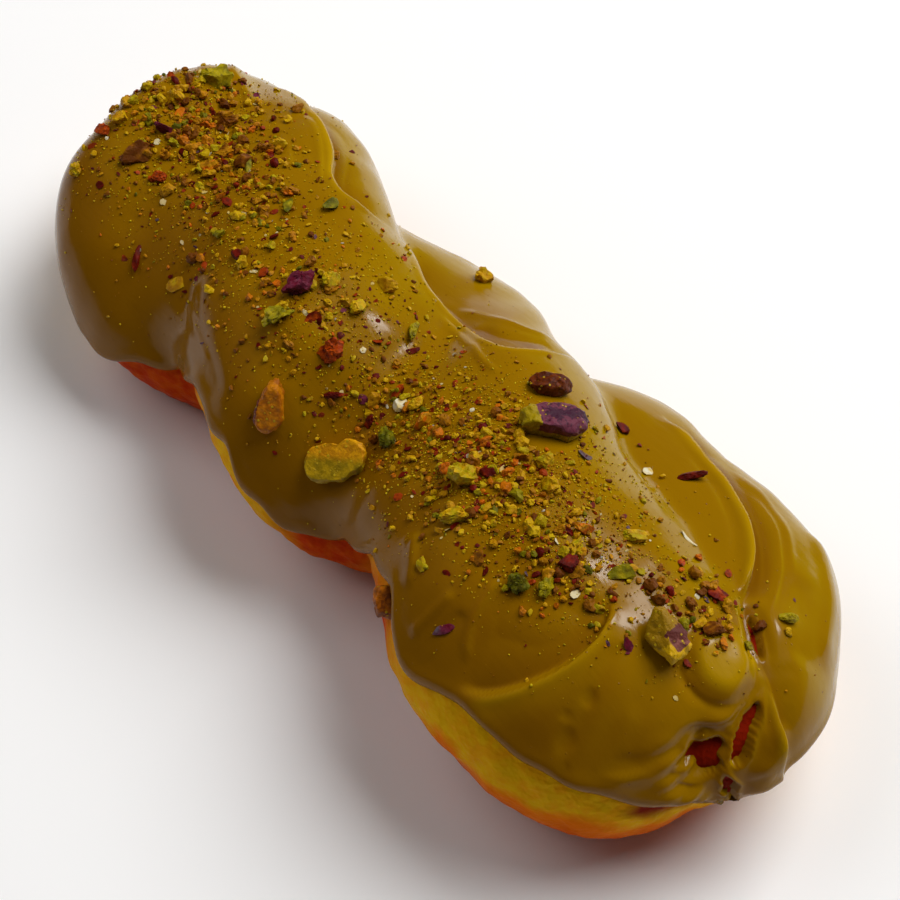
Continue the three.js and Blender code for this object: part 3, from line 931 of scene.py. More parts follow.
@dataclass(frozen=True)
class IcingFinish:
    """Glossy pistachio cream: olive mustard, with painted light and shade by which way it faces:
    yellower on the right, towards the light, and browner on the left, away from it.
    """

    body: tuple = tint(137, 97, 0)
    # Painted light and painted shade: lit and shaded copies of the body colour.
    painted_light: tuple = tint(150, 118, 0)
    painted_shade: tuple = tint(126, 82, 0)
    # Painted highlight on the marks' crests and painted shade in their furrows.
    crest: tuple = tint(168, 130, 2)
    furrow: tuple = tint(118, 76, 0)
    speck: tuple = tint(104, 54, 0)
    roughness: float = 0.15
    index: float = 1.22
    cloud_size: float = 0.02
    fleck_spacing: float = 0.0021
    fleck_patch: float = 0.006
    gloss_patch: float = 0.011
    drawn_size: float = 0.0016
    drawn_depth: float = 0.00007
    fleck_depth: float = 0.00005

    def make(self) -> bpy.types.Material:
        """Builds the material."""
        finish = Finish("icing", self.roughness)
        cloud = finish.range(finish.noise(self.cloud_size, 3.0), 0.3, 0.7, -0.12, 0.12)
        # Painted light and shade: yellower where the surface faces the light at +Y, browner where it faces
        # away, a little cloudy.
        toward_light = finish.math("ADD", finish.attribute("toward_light"), cloud)
        base = finish.mix(finish.range(toward_light, 0.05, -0.6), self.body, self.painted_shade)
        base = finish.mix(finish.range(toward_light, 0.2, 0.75), base, self.painted_light)
        # Painted highlight where the marks rise and painted shade where they sink.
        base = finish.mix(finish.range(finish.attribute("raised"), 0.5, 1.8), base, self.crest)
        base = finish.mix(finish.range(finish.attribute("raised"), -0.5, -1.6), base, self.furrow)
        fleck = finish.range(finish.cells(self.fleck_spacing), 0.10, 0.04)
        sparse = finish.range(finish.noise(self.fleck_patch, 2.0), 0.5, 0.62)
        base = finish.mix(finish.math("MULTIPLY", fleck, sparse), base, self.speck)
        finish.colour(base)
        least, most = self.roughness - 0.04, self.roughness + 0.08
        rough = finish.range(finish.noise(self.gloss_patch, 4.0), 0.3, 0.7, least, most)
        finish.link(rough, finish.shader.inputs["Roughness"])
        drawn = finish.noise(self.drawn_size, 3.0, finish.stretched((0.25, 1.0, 0.6), 0.5))
        normal = finish.bump(drawn, self.drawn_depth)
        normal = finish.bump(fleck, self.fleck_depth, under=normal)
        finish.link(normal, finish.shader.inputs["Normal"])
        finish.set(IOR=self.index)
        return finish.material


@dataclass(frozen=True)
class DoughFinish:
    """Fried crust: pale beside the icing, then orange and brown below, with painted shade:
    deep red in the notches between the strands and dark red inside the icing's tears.
    """

    pale: tuple = tint(216, 164, 2)
    orange: tuple = tint(216, 108, 0)
    brown: tuple = tint(190, 72, 0)
    # Painted shade: deep red in the notches between the strands and dark red inside the tears.
    deep: tuple = tint(184, 50, 0)
    torn: tuple = tint(124, 24, 4)
    blotch_size: float = 0.012
    fine_size: float = 0.0024
    crust_size: float = 0.004
    crust_depth: float = 0.0005
    pore_spacing: float = 0.0009
    pore_depth: float = 0.00012

    def make(self) -> bpy.types.Material:
        """Builds the material."""
        finish = Finish("dough", 0.48)
        below = finish.attribute("below")
        blotch = finish.noise(self.blotch_size, 5.0)
        moved = finish.math("ADD", below, finish.range(blotch, 0.25, 0.75, -2.6, 2.6))
        share = finish.range(moved, 0.0, 18.0)
        stops = [(0.0, self.pale), (0.35, self.pale), (0.62, self.orange), (1.0, self.brown)]
        base = finish.ramp(share, stops)
        # Painted shade: deep red in the notches, then dark red inside the tears.
        base = finish.mix(finish.attribute("notch"), base, self.deep)
        fine = finish.range(finish.noise(self.fine_size, 6.0), 0.35, 0.7)
        base = finish.mix(finish.math("MULTIPLY", fine, 0.35), base, self.orange)
        finish.colour(finish.mix(finish.attribute("torn"), base, self.torn))
        rough = finish.range(blotch, 0.3, 0.7, 0.38, 0.6)
        finish.link(rough, finish.shader.inputs["Roughness"])
        wrinkled = finish.noise(self.crust_size, 6.0, distortion=0.6)
        normal = finish.bump(wrinkled, self.crust_depth)
        normal = finish.bump(finish.cells(self.pore_spacing), self.pore_depth, under=normal)
        finish.link(normal, finish.shader.inputs["Normal"])
        finish.set(IOR=1.3, Specular_IOR_Level=0.05)
        return finish.material


@dataclass(frozen=True)
class NutFinish:
    """Chopped pistachio: a run of colours from piece to piece, mottled within each."""

    name: str
    stops: tuple[tuple[float, tuple], ...]
    mottle: tuple
    roughness: float = 0.55
    mottle_size: float = 0.0009
    grain_size: float = 0.0005
    grain_depth: float = 0.00015

    def make(self) -> bpy.types.Material:
        """Builds the material."""
        finish = Finish(self.name, self.roughness)
        base = finish.ramp(finish.attribute("tone"), list(self.stops))
        cloud = finish.range(finish.noise(self.mottle_size, 4.0), 0.45, 0.68, 0.0, 0.6)
        finish.colour(finish.mix(cloud, base, self.mottle))
        normal = finish.bump(finish.noise(self.grain_size, 4.0), self.grain_depth)
        finish.link(normal, finish.shader.inputs["Normal"])
        finish.set(IOR=1.45, Specular_IOR_Level=0.25)
        return finish.material


# ---- Dough and icing -----------------------------------------------------------------------------


@dataclass
class Dough:
    """The fried dough, flattened where it rests, with a faintly wrinkled crust.

    It is painted deep red near the notch places and darker still inside the icing's tears, both
    painted shade where the dough lies in a hollow: where a tear is less than torn_away off, as a
    share of its size, and the drip edge less than torn_below above.
    """

    form: TwistForm
    rings: int = 300
    columns: int = 216
    rest_blend: float = 1.2
    crust: float = 0.14
    wrinkles: tuple[Ripple, Ripple] = (Ripple(5, 7.0), Ripple(6, 3.0))
    fine_share: float = 0.6
    notch_places: tuple[Point, ...] = (
        (-60, -26, 6), (-52, -26, 8), (-45, -27, 12), (-41, -27, 20),
        (2, -30, 14), (9, -31, 16), (24, -32, 24),
    )
    notch_reach: float = 9.0
    torn_away: tuple[float, float] = (4.0, 3.0)
    torn_below: tuple[float, float] = (7, 4)

    def reach(self, start: Array, heading: Array) -> Array:
        """How far along each ray the dough's surface lies, held above the floor.

        Args:
            start: where each ray starts.
            heading: each ray's unit heading.

        Returns:
            One distance for each ray.
        """
        free = self.form.reach(self.form.dough, start, heading)
        drop = np.maximum(-heading[..., 2], TINY)
        return np.minimum(free, start[..., 2] / drop)

    def surface(self, share: Array, angle: Array) -> Array:
        """The crust's points: the strands' surface, rippled, its underside eased to the floor.

        The height z becomes (z + k)^2 / 4k where it lies within k of the floor, and 0 below that.

        Args:
            share: how far along.
            angle: round the spine.

        Returns:
            Points in millimetres.
        """
        start, heading = self.form.rays(share, angle)
        free = self.form.reach(self.form.dough, start, heading)
        points = start + heading * free[..., None]
        broad, fine = self.wrinkles
        wrinkle = broad(points) + self.fine_share * fine(points)
        points = points + heading * (self.crust * wrinkle)[..., None]
        z, k = points[..., 2], self.rest_blend
        eased = np.where(z > k, z, np.where(z < -k, 0.0, (z + k) ** 2 / (4 * k)))
        points[..., 2] = eased
        return points

    def build(self) -> tuple[Array, Faces]:
        """The dough as rings between two poles.

        Returns:
            Its points and its faces.
        """
        share = np.arange(1, self.rings) / self.rings
        angle = np.linspace(0, 2 * math.pi, self.columns, endpoint=False)
        rings = self.surface(*np.meshgrid(share, angle, indexing="ij"))
        poles = self.surface(np.array([0.0, 1.0]), np.zeros(2))
        points = np.concatenate([poles[:1], rings.reshape(-1, 3), poles[1:]])
        return points, loop_faces(self.rings - 1, self.columns)

    def add(self, place: Placement, points: Array, faces: Faces) -> bpy.types.Object:
        """Makes the piece and dresses it.

        Args:
            place: the shift to the CAD frame.
            points: the dough's points.
            faces: its faces.

        Returns:
            The finished piece.
        """
        piece = add_mesh("dough_crust", place.to_frame(points), faces, True)
        drip = np.where(
            points[:, 1] < 0,
            self.form.drip_height(points[:, 0], -1),
            self.form.drip_height(points[:, 0], 1),
        )
        below = drip - points[:, 2]
        add_values(piece, "below", below)
        # Where the painted shade goes: near the notches between the strands and inside the tears.
        notch = sum(bell(np.linalg.norm(points - np.array(at), axis=1), self.notch_reach)
                    for at in self.notch_places)
        torn = sum(smooth_step(*self.torn_away, tear.away(points)) for tear in TEARS)
        add_values(piece, "notch", np.clip(notch, 0, 1))
        add_values(piece, "torn", np.clip(torn, 0, 1) * smooth_step(*self.torn_below, below))
        piece.data.materials.append(DoughFinish().make())
        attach(piece, "root")
        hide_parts("dough")
        return piece


@dataclass
class Icing:
    """The icing: a thick coat over the top with a rounded drip edge and the spatula's marks.

    The last four fields are worked out by build: the outer sheet ring by ring, its normals, how
    far the marks raise it, and the points of the whole coat.
    """

    form: TwistForm
    dough: Dough
    rings: int = 380
    outer_columns: int = 214
    inner_columns: int = 12
    edge_round: float = 2.6
    edge_bead: float = 0.35
    bead_place: float = 2.4
    bead_width: float = 1.6
    edge_tuck: float = 0.15
    swells: tuple[tuple[float, Ripple], ...] = (
        (0.22, Ripple(21, 22.0)), (0.1, Ripple(22, 8.0, (1.0, 1.0, 3.0))),
    )
    least: float = 1.2
    torn: float = 1.1
    tear_edge: tuple[float, float] = (1.08, 0.86)
    tear_rim_place: float = 1.25
    tear_rim_width: float = 0.22
    sunk: float = 0.5
    pole_sunk: float = 0.1
    crowding: float = 0.10
    steepest_seat: float = 0.15
    sheet: Array = field(init=False)
    normals: Array = field(init=False)
    raised: Array = field(init=False)
    points: Array = field(init=False)

    def edge_distance(self, points: Array) -> Array:
        """How far each point of the outer sheet is from the nearer drip edge.

        Args:
            points: the sheet's points, ring by ring.

        Returns:
            The length along its ring, for each point.
        """
        step = np.linalg.norm(np.diff(points, axis=1), axis=-1)
        zero = np.zeros((len(points), 1))
        from_right = np.concatenate([zero, np.cumsum(step, axis=1)], axis=1)
        return np.minimum(from_right, from_right[:, -1:] - from_right)

    def outer(self, start: Array, heading: Array) -> tuple[Array, Array]:
        """The outer sheet: the icing's gauge with the marks on it, rounded off to its edges.

        The thickness near an edge is the quarter circle sqrt(1 - (1 - d / r)^2) of the full one,
        with a slight bead behind it. Towards a tear the sheet thins, and in it sinks into the dough.

        Args:
            start: where each ray starts, ring by ring.
            heading: each ray's heading.

        Returns:
            The sheet's points and how far the marks raise it.
        """
        base = self.dough.reach(start, heading)
        free = self.form.reach(self.form.icing, start, heading)
        first = start + heading * free[..., None]
        marks = relief(first)
        swell = sum(height * ripple(first) for height, ripple in self.swells)
        full = np.maximum(free + marks + swell - base, self.least)
        distance = self.edge_distance(start + heading * base[..., None])
        rim = np.clip(distance / self.edge_round, 0, 1)
        bead = self.edge_bead * bell(distance - self.bead_place, self.bead_width)
        thick = full * np.sqrt(1 - (1 - rim) ** 2) + bead
        thick = np.where(distance < TINY, -self.edge_tuck, thick)
        points = start + heading * (base + thick)[..., None]
        for tear in TEARS:
            away = tear.away(points)
            beyond = np.maximum(away - 1, 0) * tear.width
            thick = thick + (np.minimum(thick, self.torn) - thick) * bell(beyond, tear.spread)
            thick = thick + tear.rim * bell(away - self.tear_rim_place, self.tear_rim_width)
            thick = thick + (-self.sunk - thick) * smooth_step(*self.tear_edge, away)
        points = start + heading * (base + thick)[..., None]
        return points, marks

    def build(self) -> Faces:
        """Works out the whole coat: the outer sheet and an inner one just inside the dough.

        Returns:
            The faces; the points, normals and marks are kept on the class.
        """
        share = np.arange(1, self.rings) / self.rings
        right = self.form.drip_angle(share, 1)[:, None]
        left = self.form.drip_angle(share, -1)[:, None]
        even = np.linspace(0, 1, self.outer_columns + 1)
        over = even - self.crowding * np.sin(2 * math.pi * even) / (2 * math.pi)
        angle = right + (left - right) * over
        start, heading = self.form.rays(share[:, None] + 0 * angle, angle)
        outer, self.raised = self.outer(start, heading)
        back = np.linspace(1, 0, self.inner_columns + 2)[1:-1]
        angle = right + (left - right) * back
        start, heading = self.form.rays(share[:, None] + 0 * angle, angle)
        inner = start + heading * (self.dough.reach(start, heading) - self.sunk)[..., None]
        pole_start, pole_heading = self.form.rays(np.array([0.0, 1.0]), np.zeros(2))
        pole_reach = self.dough.reach(pole_start, pole_heading) - self.pole_sunk
        poles = pole_start + pole_heading * pole_reach[..., None]
        rings = np.concatenate([outer, inner], axis=1)
        self.sheet = outer
        self.points = np.concatenate([poles[:1], rings.reshape(-1, 3), poles[1:]])
        along = np.gradient(outer, axis=0)
        across = np.gradient(outer, axis=1)
        normal = np.cross(along, across)
        normal /= np.linalg.norm(normal, axis=-1, keepdims=True) + 1e-12
        self.normals = normal * np.where(normal[..., 2].mean() < 0, -1.0, 1.0)
        return loop_faces(self.rings - 1, self.outer_columns + 1 + self.inner_columns)

    def add(self, place: Placement) -> bpy.types.Object:
        """Makes the piece and dresses it.

        Args:
            place: the shift to the CAD frame.

        Returns:
            The finished piece.
        """
        faces = self.build()
        piece = add_mesh("icing_coat", place.to_frame(self.points), faces, True)
        marks = np.zeros((self.rings - 1, self.outer_columns + 1 + self.inner_columns))
        marks[:, : self.outer_columns + 1] = self.raised
        add_values(piece, "raised", np.concatenate([[0], marks.ravel(), [0]]))
        # Each normal's share towards +Y, where the light is, for the finish's painted light and shade.
        toward_light = np.zeros_like(marks)
        toward_light[:, : self.outer_columns + 1] = self.normals[..., 1]
        add_values(piece, "toward_light", np.concatenate([[0], toward_light.ravel(), [0]]))
        piece.data.materials.append(IcingFinish().make())
        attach(piece, "root")
        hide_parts("icing")
        return piece

    def seat(self, x: Array, y: Array) -> tuple[Array, Array]:
        """The icing's top at places on the plan.

        Args:
            x: places along the twist.
            y: places across it.

        Returns:
            The nearest upper points of the outer sheet, moved onto the places, and their normals.
        """
        flat = self.sheet.reshape(-1, 3)
        normal = self.normals.reshape(-1, 3)
        away = (flat[None, :, 0] - np.atleast_1d(x)[:, None]) ** 2 \
            + (flat[None, :, 1] - np.atleast_1d(y)[:, None]) ** 2
        hidden = normal[:, 2] < self.steepest_seat
        best = np.where(hidden, np.inf, away).argmin(1)
        return flat[best], normal[best]


# ---- Chopped pistachio ---------------------------------------------------------------------------


class Nut(Enum):
    """What a chopped piece is: the name of the piece holding its kind, which its finish's name matches."""

    YELLOW = "crumbs_yellow"
    GREEN = "crumbs_green"
    BROWN = "crumbs_brown"
    RED = "crumbs_red"
    PURPLE = "crumbs_purple"
    CREAM = "crumbs_cream"
    DUST = "crumbs_dust"


class Form(Enum):
    """How a chopped piece broke: the share of its width that its height is."""

    LUMP = 0.75
    CLUMP = 0.85
    FLAKE = 0.22


NUT_FINISHES: dict[Nut, NutFinish] = {
    Nut.YELLOW: NutFinish(
        "crumbs_yellow",
        ((0.0, tint(170, 118, 2)), (0.5, tint(196, 154, 4)), (1.0, tint(160, 142, 4))),
        tint(138, 82, 2),
    ),
    Nut.GREEN: NutFinish(
        "crumbs_green",
        ((0.0, tint(78, 78, 2)), (0.5, tint(118, 108, 2)), (1.0, tint(162, 142, 4))),
        tint(80, 62, 2),
    ),
    Nut.BROWN: NutFinish(
        "crumbs_brown",
        ((0.0, tint(92, 44, 2)), (0.35, tint(132, 78, 2)), (0.7, tint(178, 122, 4)),
         (1.0, tint(190, 92, 2))),
        tint(92, 48, 2),
    ),
    Nut.RED: NutFinish(
        "crumbs_red",
        ((0.0, tint(74, 8, 2)), (0.5, tint(108, 18, 2)), (1.0, tint(166, 64, 2))),
        tint(58, 10, 2),
    ),
    Nut.PURPLE: NutFinish(
        "crumbs_purple",
        ((0.0, tint(92, 12, 32)), (0.5, tint(104, 36, 56)), (1.0, tint(90, 74, 84))),
        tint(56, 10, 20),
    ),
    Nut.CREAM: NutFinish(
        "crumbs_cream",
        ((0.0, tint(212, 204, 176)), (0.5, tint(204, 176, 96)), (1.0, tint(150, 150, 150))),
        tint(180, 150, 70),
    ),
    Nut.DUST: NutFinish(
        "crumbs_dust",
        ((0.0, tint(112, 44, 4)), (0.25, tint(150, 92, 4)), (0.5, tint(190, 156, 6)),
         (1.0, tint(214, 190, 20))),
        tint(168, 134, 6),
    ),
}


@dataclass(frozen=True)
class Sprinkle:
    """A patch where crumbs fell more thickly."""

    x: float
    y: float
    along: float
    across: float
    weight: float

    def __call__(self, x: Array, y: Array) -> Array:
        """How thickly crumbs lie: the weight times a bell of the distance from its middle."""
        return self.weight * bell(np.hypot((x - self.x) / self.along, (y - self.y) / self.across), 1.0)


# Where crumbs of every kind fell, and the heaps where the coarse ones lie.
SPREAD: tuple[Sprinkle, ...] = (
    Sprinkle(-77, 2, 13, 16, 1.3),
    Sprinkle(-55, -3, 14, 13, 0.6),
    Sprinkle(-32, -6, 15, 14, 0.8),
    Sprinkle(-8, -7, 15, 13, 0.7),
    Sprinkle(13, -7, 12, 12, 1.7),
    Sprinkle(32, -6, 14, 13, 1.7),
    Sprinkle(46, -8, 9, 9, 0.9),
    Sprinkle(61, 1, 9, 9, 0.7),
)
HEAPS: tuple[Sprinkle, ...] = (
    Sprinkle(-80, 5, 9, 9, 1.6),
    Sprinkle(-68, 4, 10, 9, 1.5),
    Sprinkle(-55, 1, 8, 10, 0.7),
    Sprinkle(-30, -8, 8, 7, 0.9),
    Sprinkle(-4, -9, 8, 7, 0.5),
    Sprinkle(21, -8, 10, 9, 1.4),
    Sprinkle(44, -12, 8, 6, 1.5),
    Sprinkle(61, 0, 7, 7, 0.8),
)


@dataclass(frozen=True)
class Batch:
    """A seeded lot of crumbs of one kind, form and size."""

    nut: Nut
    form: Form
    count: int
    least: float
    most: float
    seed: int
    patches: tuple[Sprinkle, ...] = SPREAD


BATCHES: tuple[Batch, ...] = (
    Batch(Nut.DUST, Form.LUMP, 9600, 0.09, 0.3, 101),
    Batch(Nut.YELLOW, Form.LUMP, 1000, 0.22, 0.9, 102),
    Batch(Nut.YELLOW, Form.CLUMP, 150, 0.7, 1.6, 112, HEAPS),
    Batch(Nut.GREEN, Form.LUMP, 90, 0.3, 1.0, 103),
    Batch(Nut.GREEN, Form.CLUMP, 34, 0.7, 1.5, 113, HEAPS),
    Batch(Nut.BROWN, Form.LUMP, 1100, 0.2, 0.85, 104),
    Batch(Nut.BROWN, Form.CLUMP, 360, 0.5, 1.5, 114, HEAPS),
    Batch(Nut.RED, Form.FLAKE, 420, 0.3, 1.2, 105),
    Batch(Nut.RED, Form.LUMP, 110, 0.5, 1.3, 115, HEAPS),
    Batch(Nut.PURPLE, Form.FLAKE, 40, 0.4, 1.2, 106),
    Batch(Nut.CREAM, Form.FLAKE, 80, 0.3, 1.1, 107),
)


@dataclass(frozen=True)
class Piece:
    """A crumb large enough to be known by its place: plan place, half length and width, turn."""

    nut: Nut
    form: Form
    x: float
    y: float
    length: float
    width: float
    degrees: float = 50.0
    tone: float = 0.5


PIECES: tuple[Piece, ...] = (
    Piece(Nut.GREEN, Form.CLUMP, -84, 13.5, 3.4, 2.7, 62, 0.9),
    Piece(Nut.YELLOW, Form.CLUMP, -83, 4, 2, 2, 50, 0.4),
    Piece(Nut.BROWN, Form.CLUMP, -77.5, -9.5, 3.1, 2.3, 62, 0.1),
    Piece(Nut.PURPLE, Form.LUMP, -78, -2, 2.8, 1.6, 74, 0.2),
    Piece(Nut.BROWN, Form.CLUMP, -74, 9, 2.4, 1.7, 62, 0.3),
    Piece(Nut.YELLOW, Form.CLUMP, -85, -6.5, 2.1, 1.4, 85, 0.2),
    Piece(Nut.RED, Form.LUMP, -86, -10.5, 1.6, 1.6, 50, 0.9),
    Piece(Nut.YELLOW, Form.CLUMP, -83.5, -18.5, 1.3, 1.3, 50, 0.5),
    Piece(Nut.BROWN, Form.LUMP, -61, 4, 2.3, 1.9, 15, 0.1),
    Piece(Nut.YELLOW, Form.LUMP, -60.5, 11.5, 1.7, 1.6, 50, 0.3),
    Piece(Nut.BROWN, Form.CLUMP, -66.5, 4, 2, 1.4, 62, 0.5),
    Piece(Nut.BROWN, Form.CLUMP, -64.5, -1, 2, 1.5, 38, 0.7),
    Piece(Nut.RED, Form.LUMP, -70, -9, 1.6, 1.4, 50, 1.0),
    Piece(Nut.RED, Form.FLAKE, -64, -6, 1.8, 1.1, 44, 0.2),
    Piece(Nut.GREEN, Form.LUMP, -60, 4, 2.2, 0.8, 132, 0.5),
    Piece(Nut.RED, Form.LUMP, -61.5, -21, 2.9, 0.8, 128, 0.3),
    Piece(Nut.YELLOW, Form.FLAKE, -51, -20, 2.7, 1.3, 56, 0.1),
    Piece(Nut.GREEN, Form.LUMP, -46, 3, 2.4, 1, 132, 0.5),
    Piece(Nut.GREEN, Form.LUMP, -40.5, 8, 2.3, 1.4, 115, 0.2),
    Piece(Nut.RED, Form.LUMP, -42.5, -11.5, 1.4, 1.3, 50, 0.3),
    Piece(Nut.PURPLE, Form.CLUMP, -28, -8, 3.4, 2.1, 76, 0.2),
    Piece(Nut.GREEN, Form.CLUMP, -25.5, -14.5, 4, 1.7, 104, 0.7),
    Piece(Nut.YELLOW, Form.LUMP, -25.5, -3.5, 2, 1.9, 15, 0.8),
    Piece(Nut.RED, Form.FLAKE, -21.5, -11, 2.2, 1.3, 123, 0.8),
    Piece(Nut.YELLOW, Form.LUMP, -20.5, 4.5, 2.2, 1.6, 32, 0.3),
    Piece(Nut.YELLOW, Form.LUMP, -18.5, -3, 1.7, 1.7, 50, 0.7),
    Piece(Nut.RED, Form.CLUMP, -15.5, -12, 2.2, 2, 85, 0.95),
    Piece(Nut.GREEN, Form.LUMP, -11.5, 3.5, 2.7, 1.2, 101, 0.8),
    Piece(Nut.RED, Form.FLAKE, -8.5, 0.5, 2.3, 0.8, 62, 0.3),
    Piece(Nut.RED, Form.LUMP, -10, -16, 2.4, 0.7, 50, 0.2),
    Piece(Nut.RED, Form.LUMP, -2.5, -7, 2, 1.2, 91, 0.9),
    Piece(Nut.CREAM, Form.LUMP, -0.5, -8.5, 1.5, 1.3, 74, 0.2),
    Piece(Nut.YELLOW, Form.LUMP, 2.5, -7, 1.9, 1.2, 85, 0.6),
    Piece(Nut.BROWN, Form.LUMP, 6, -9, 2, 1.6, 101, 0.8),
    Piece(Nut.RED, Form.LUMP, -2.5, -14, 1.8, 1.1, 68, 0.2),
    Piece(Nut.GREEN, Form.CLUMP, 3.5, -14, 2.2, 1.7, 9, 0.1),
    Piece(Nut.YELLOW, Form.CLUMP, 21.5, -13.5, 2.9, 2.5, 62, 0.9),
    Piece(Nut.YELLOW, Form.CLUMP, 26.5, -18.5, 3.1, 1.5, 35, 0.7),
    Piece(Nut.PURPLE, Form.FLAKE, 30, 6.5, 1.6, 1.3, 85, 0.9),
    Piece(Nut.YELLOW, Form.CLUMP, 28, -1, 1.7, 1.6, 50, 0.7),
    Piece(Nut.YELLOW, Form.CLUMP, 32.5, -4, 1.8, 1.8, 50, 0.4),
    Piece(Nut.CREAM, Form.FLAKE, 33, 19.5, 1.8, 1, 104, 0.1),
    Piece(Nut.RED, Form.LUMP, 38.5, 23.5, 3.4, 0.9, 54, 0.3),
    Piece(Nut.RED, Form.LUMP, 22.5, 22.5, 1.7, 1.2, 62, 0.3),
    Piece(Nut.RED, Form.LUMP, 24, -9.5, 1.6, 1.2, 38, 0.2),
    Piece(Nut.BROWN, Form.LUMP, 42, -5, 2.1, 1.4, 85, 1.0),
    Piece(Nut.RED, Form.LUMP, 45, -11, 2.2, 1.7, 74, 0.3),
    Piece(Nut.GREEN, Form.CLUMP, 42.5, -19, 1.9, 1.8, 50, 0.1),
    Piece(Nut.GREEN, Form.CLUMP, 46, -16.5, 1.9, 1.2, 115, 0.8),
    Piece(Nut.YELLOW, Form.CLUMP, 43.5, -8.5, 1.9, 1.1, 101, 0.6),
    Piece(Nut.GREEN, Form.LUMP, 51.5, -4.5, 2.8, 1.4, 68, 0.5),
    Piece(Nut.YELLOW, Form.CLUMP, 47, 2, 2.2, 1.2, 50, 0.8),
    Piece(Nut.CREAM, Form.FLAKE, 50.5, 12, 1.9, 1, 32, 0.1),
    Piece(Nut.RED, Form.FLAKE, 54, 6, 2, 1, 140, 0.9),
    Piece(Nut.PURPLE, Form.FLAKE, 38.5, -31.5, 2.3, 1.1, 68, 0.3),
    Piece(Nut.PURPLE, Form.FLAKE, 62, -12.5, 2, 0.9, 4, 0.1),
    Piece(Nut.BROWN, Form.LUMP, 67, 1, 2.2, 1.5, 44, 0.1),
    Piece(Nut.RED, Form.CLUMP, 61.5, 7, 2, 1.4, 4, 0.5),
    Piece(Nut.GREEN, Form.LUMP, 71, 14.5, 1.8, 1.1, 60, 0.9),
    Piece(Nut.YELLOW, Form.LUMP, 73, 13, 0.9, 0.8, 50, 0.3),
    Piece(Nut.YELLOW, Form.CLUMP, -20.5, 28, 2, 1.7, 40, 0.4),
)


def ball_grid(around: int, rows: int) -> tuple[Array, Faces]:
    """A ball of few faces: cosine and sine of two angles on a grid, closed by two poles.

    Args:
        around: points round each ring.
        rows: how many rings.

    Returns:
        Its points and faces.
    """
    tilt = np.linspace(0, math.pi, rows + 2)[1:-1, None]
    turn = np.linspace(0, 2 * math.pi, around, endpoint=False) + 0.5 * tilt
    rings = np.stack([np.sin(tilt) * np.cos(turn), np.sin(tilt) * np.sin(turn), np.cos(tilt) + 0 * turn], -1)
    points = np.concatenate([[[0, 0, 1.0]], rings.reshape(-1, 3), [[0, 0, -1.0]]])
    return points, loop_faces(rows, around)


# How far a lump's points stray from a ball's, and how far out its cuts lie.
LUMP_STRAY = (0.86, 1.08)
CUT_PLACES = (0.35, 0.8)


def cut_lumps(rng: np.random.Generator, ball: Array, count: int, cuts: int) -> Array:
    """Uneven lumps with flat cut faces: a ball's points pressed onto random planes.

    Args:
        rng: the seeded stream of numbers.
        ball: the ball's points.
        count: how many lumps.
        cuts: how many planes cut each.

    Returns:
        An array of lumps by points by three.
    """
    lumps = ball[None] * rng.uniform(*LUMP_STRAY, (count, len(ball), 1))
    for _ in range(cuts):
        way = rng.normal(size=(count, 1, 3))
        way /= np.linalg.norm(way, axis=-1, keepdims=True)
        place = rng.uniform(*CUT_PLACES, (count, 1, 1))
        beyond = np.maximum((lumps * way).sum(-1, keepdims=True) - place, 0)
        lumps = lumps - beyond * way
    return lumps


def frames_on(normals: Array, turns: Array) -> Array:
    """For each normal, three unit axes: two along the surface, the first at a turn, and itself.

    Args:
        normals: unit normals.
        turns: angles of the first axis from +X.

    Returns:
        An array of axes, one triple for each normal.
    """
    first = np.stack([np.cos(turns), np.sin(turns), np.zeros_like(turns)], -1)
    first -= (first * normals).sum(-1, keepdims=True) * normals
    first /= np.linalg.norm(first, axis=-1, keepdims=True)
    return np.stack([first, np.cross(normals, first), normals], 1)


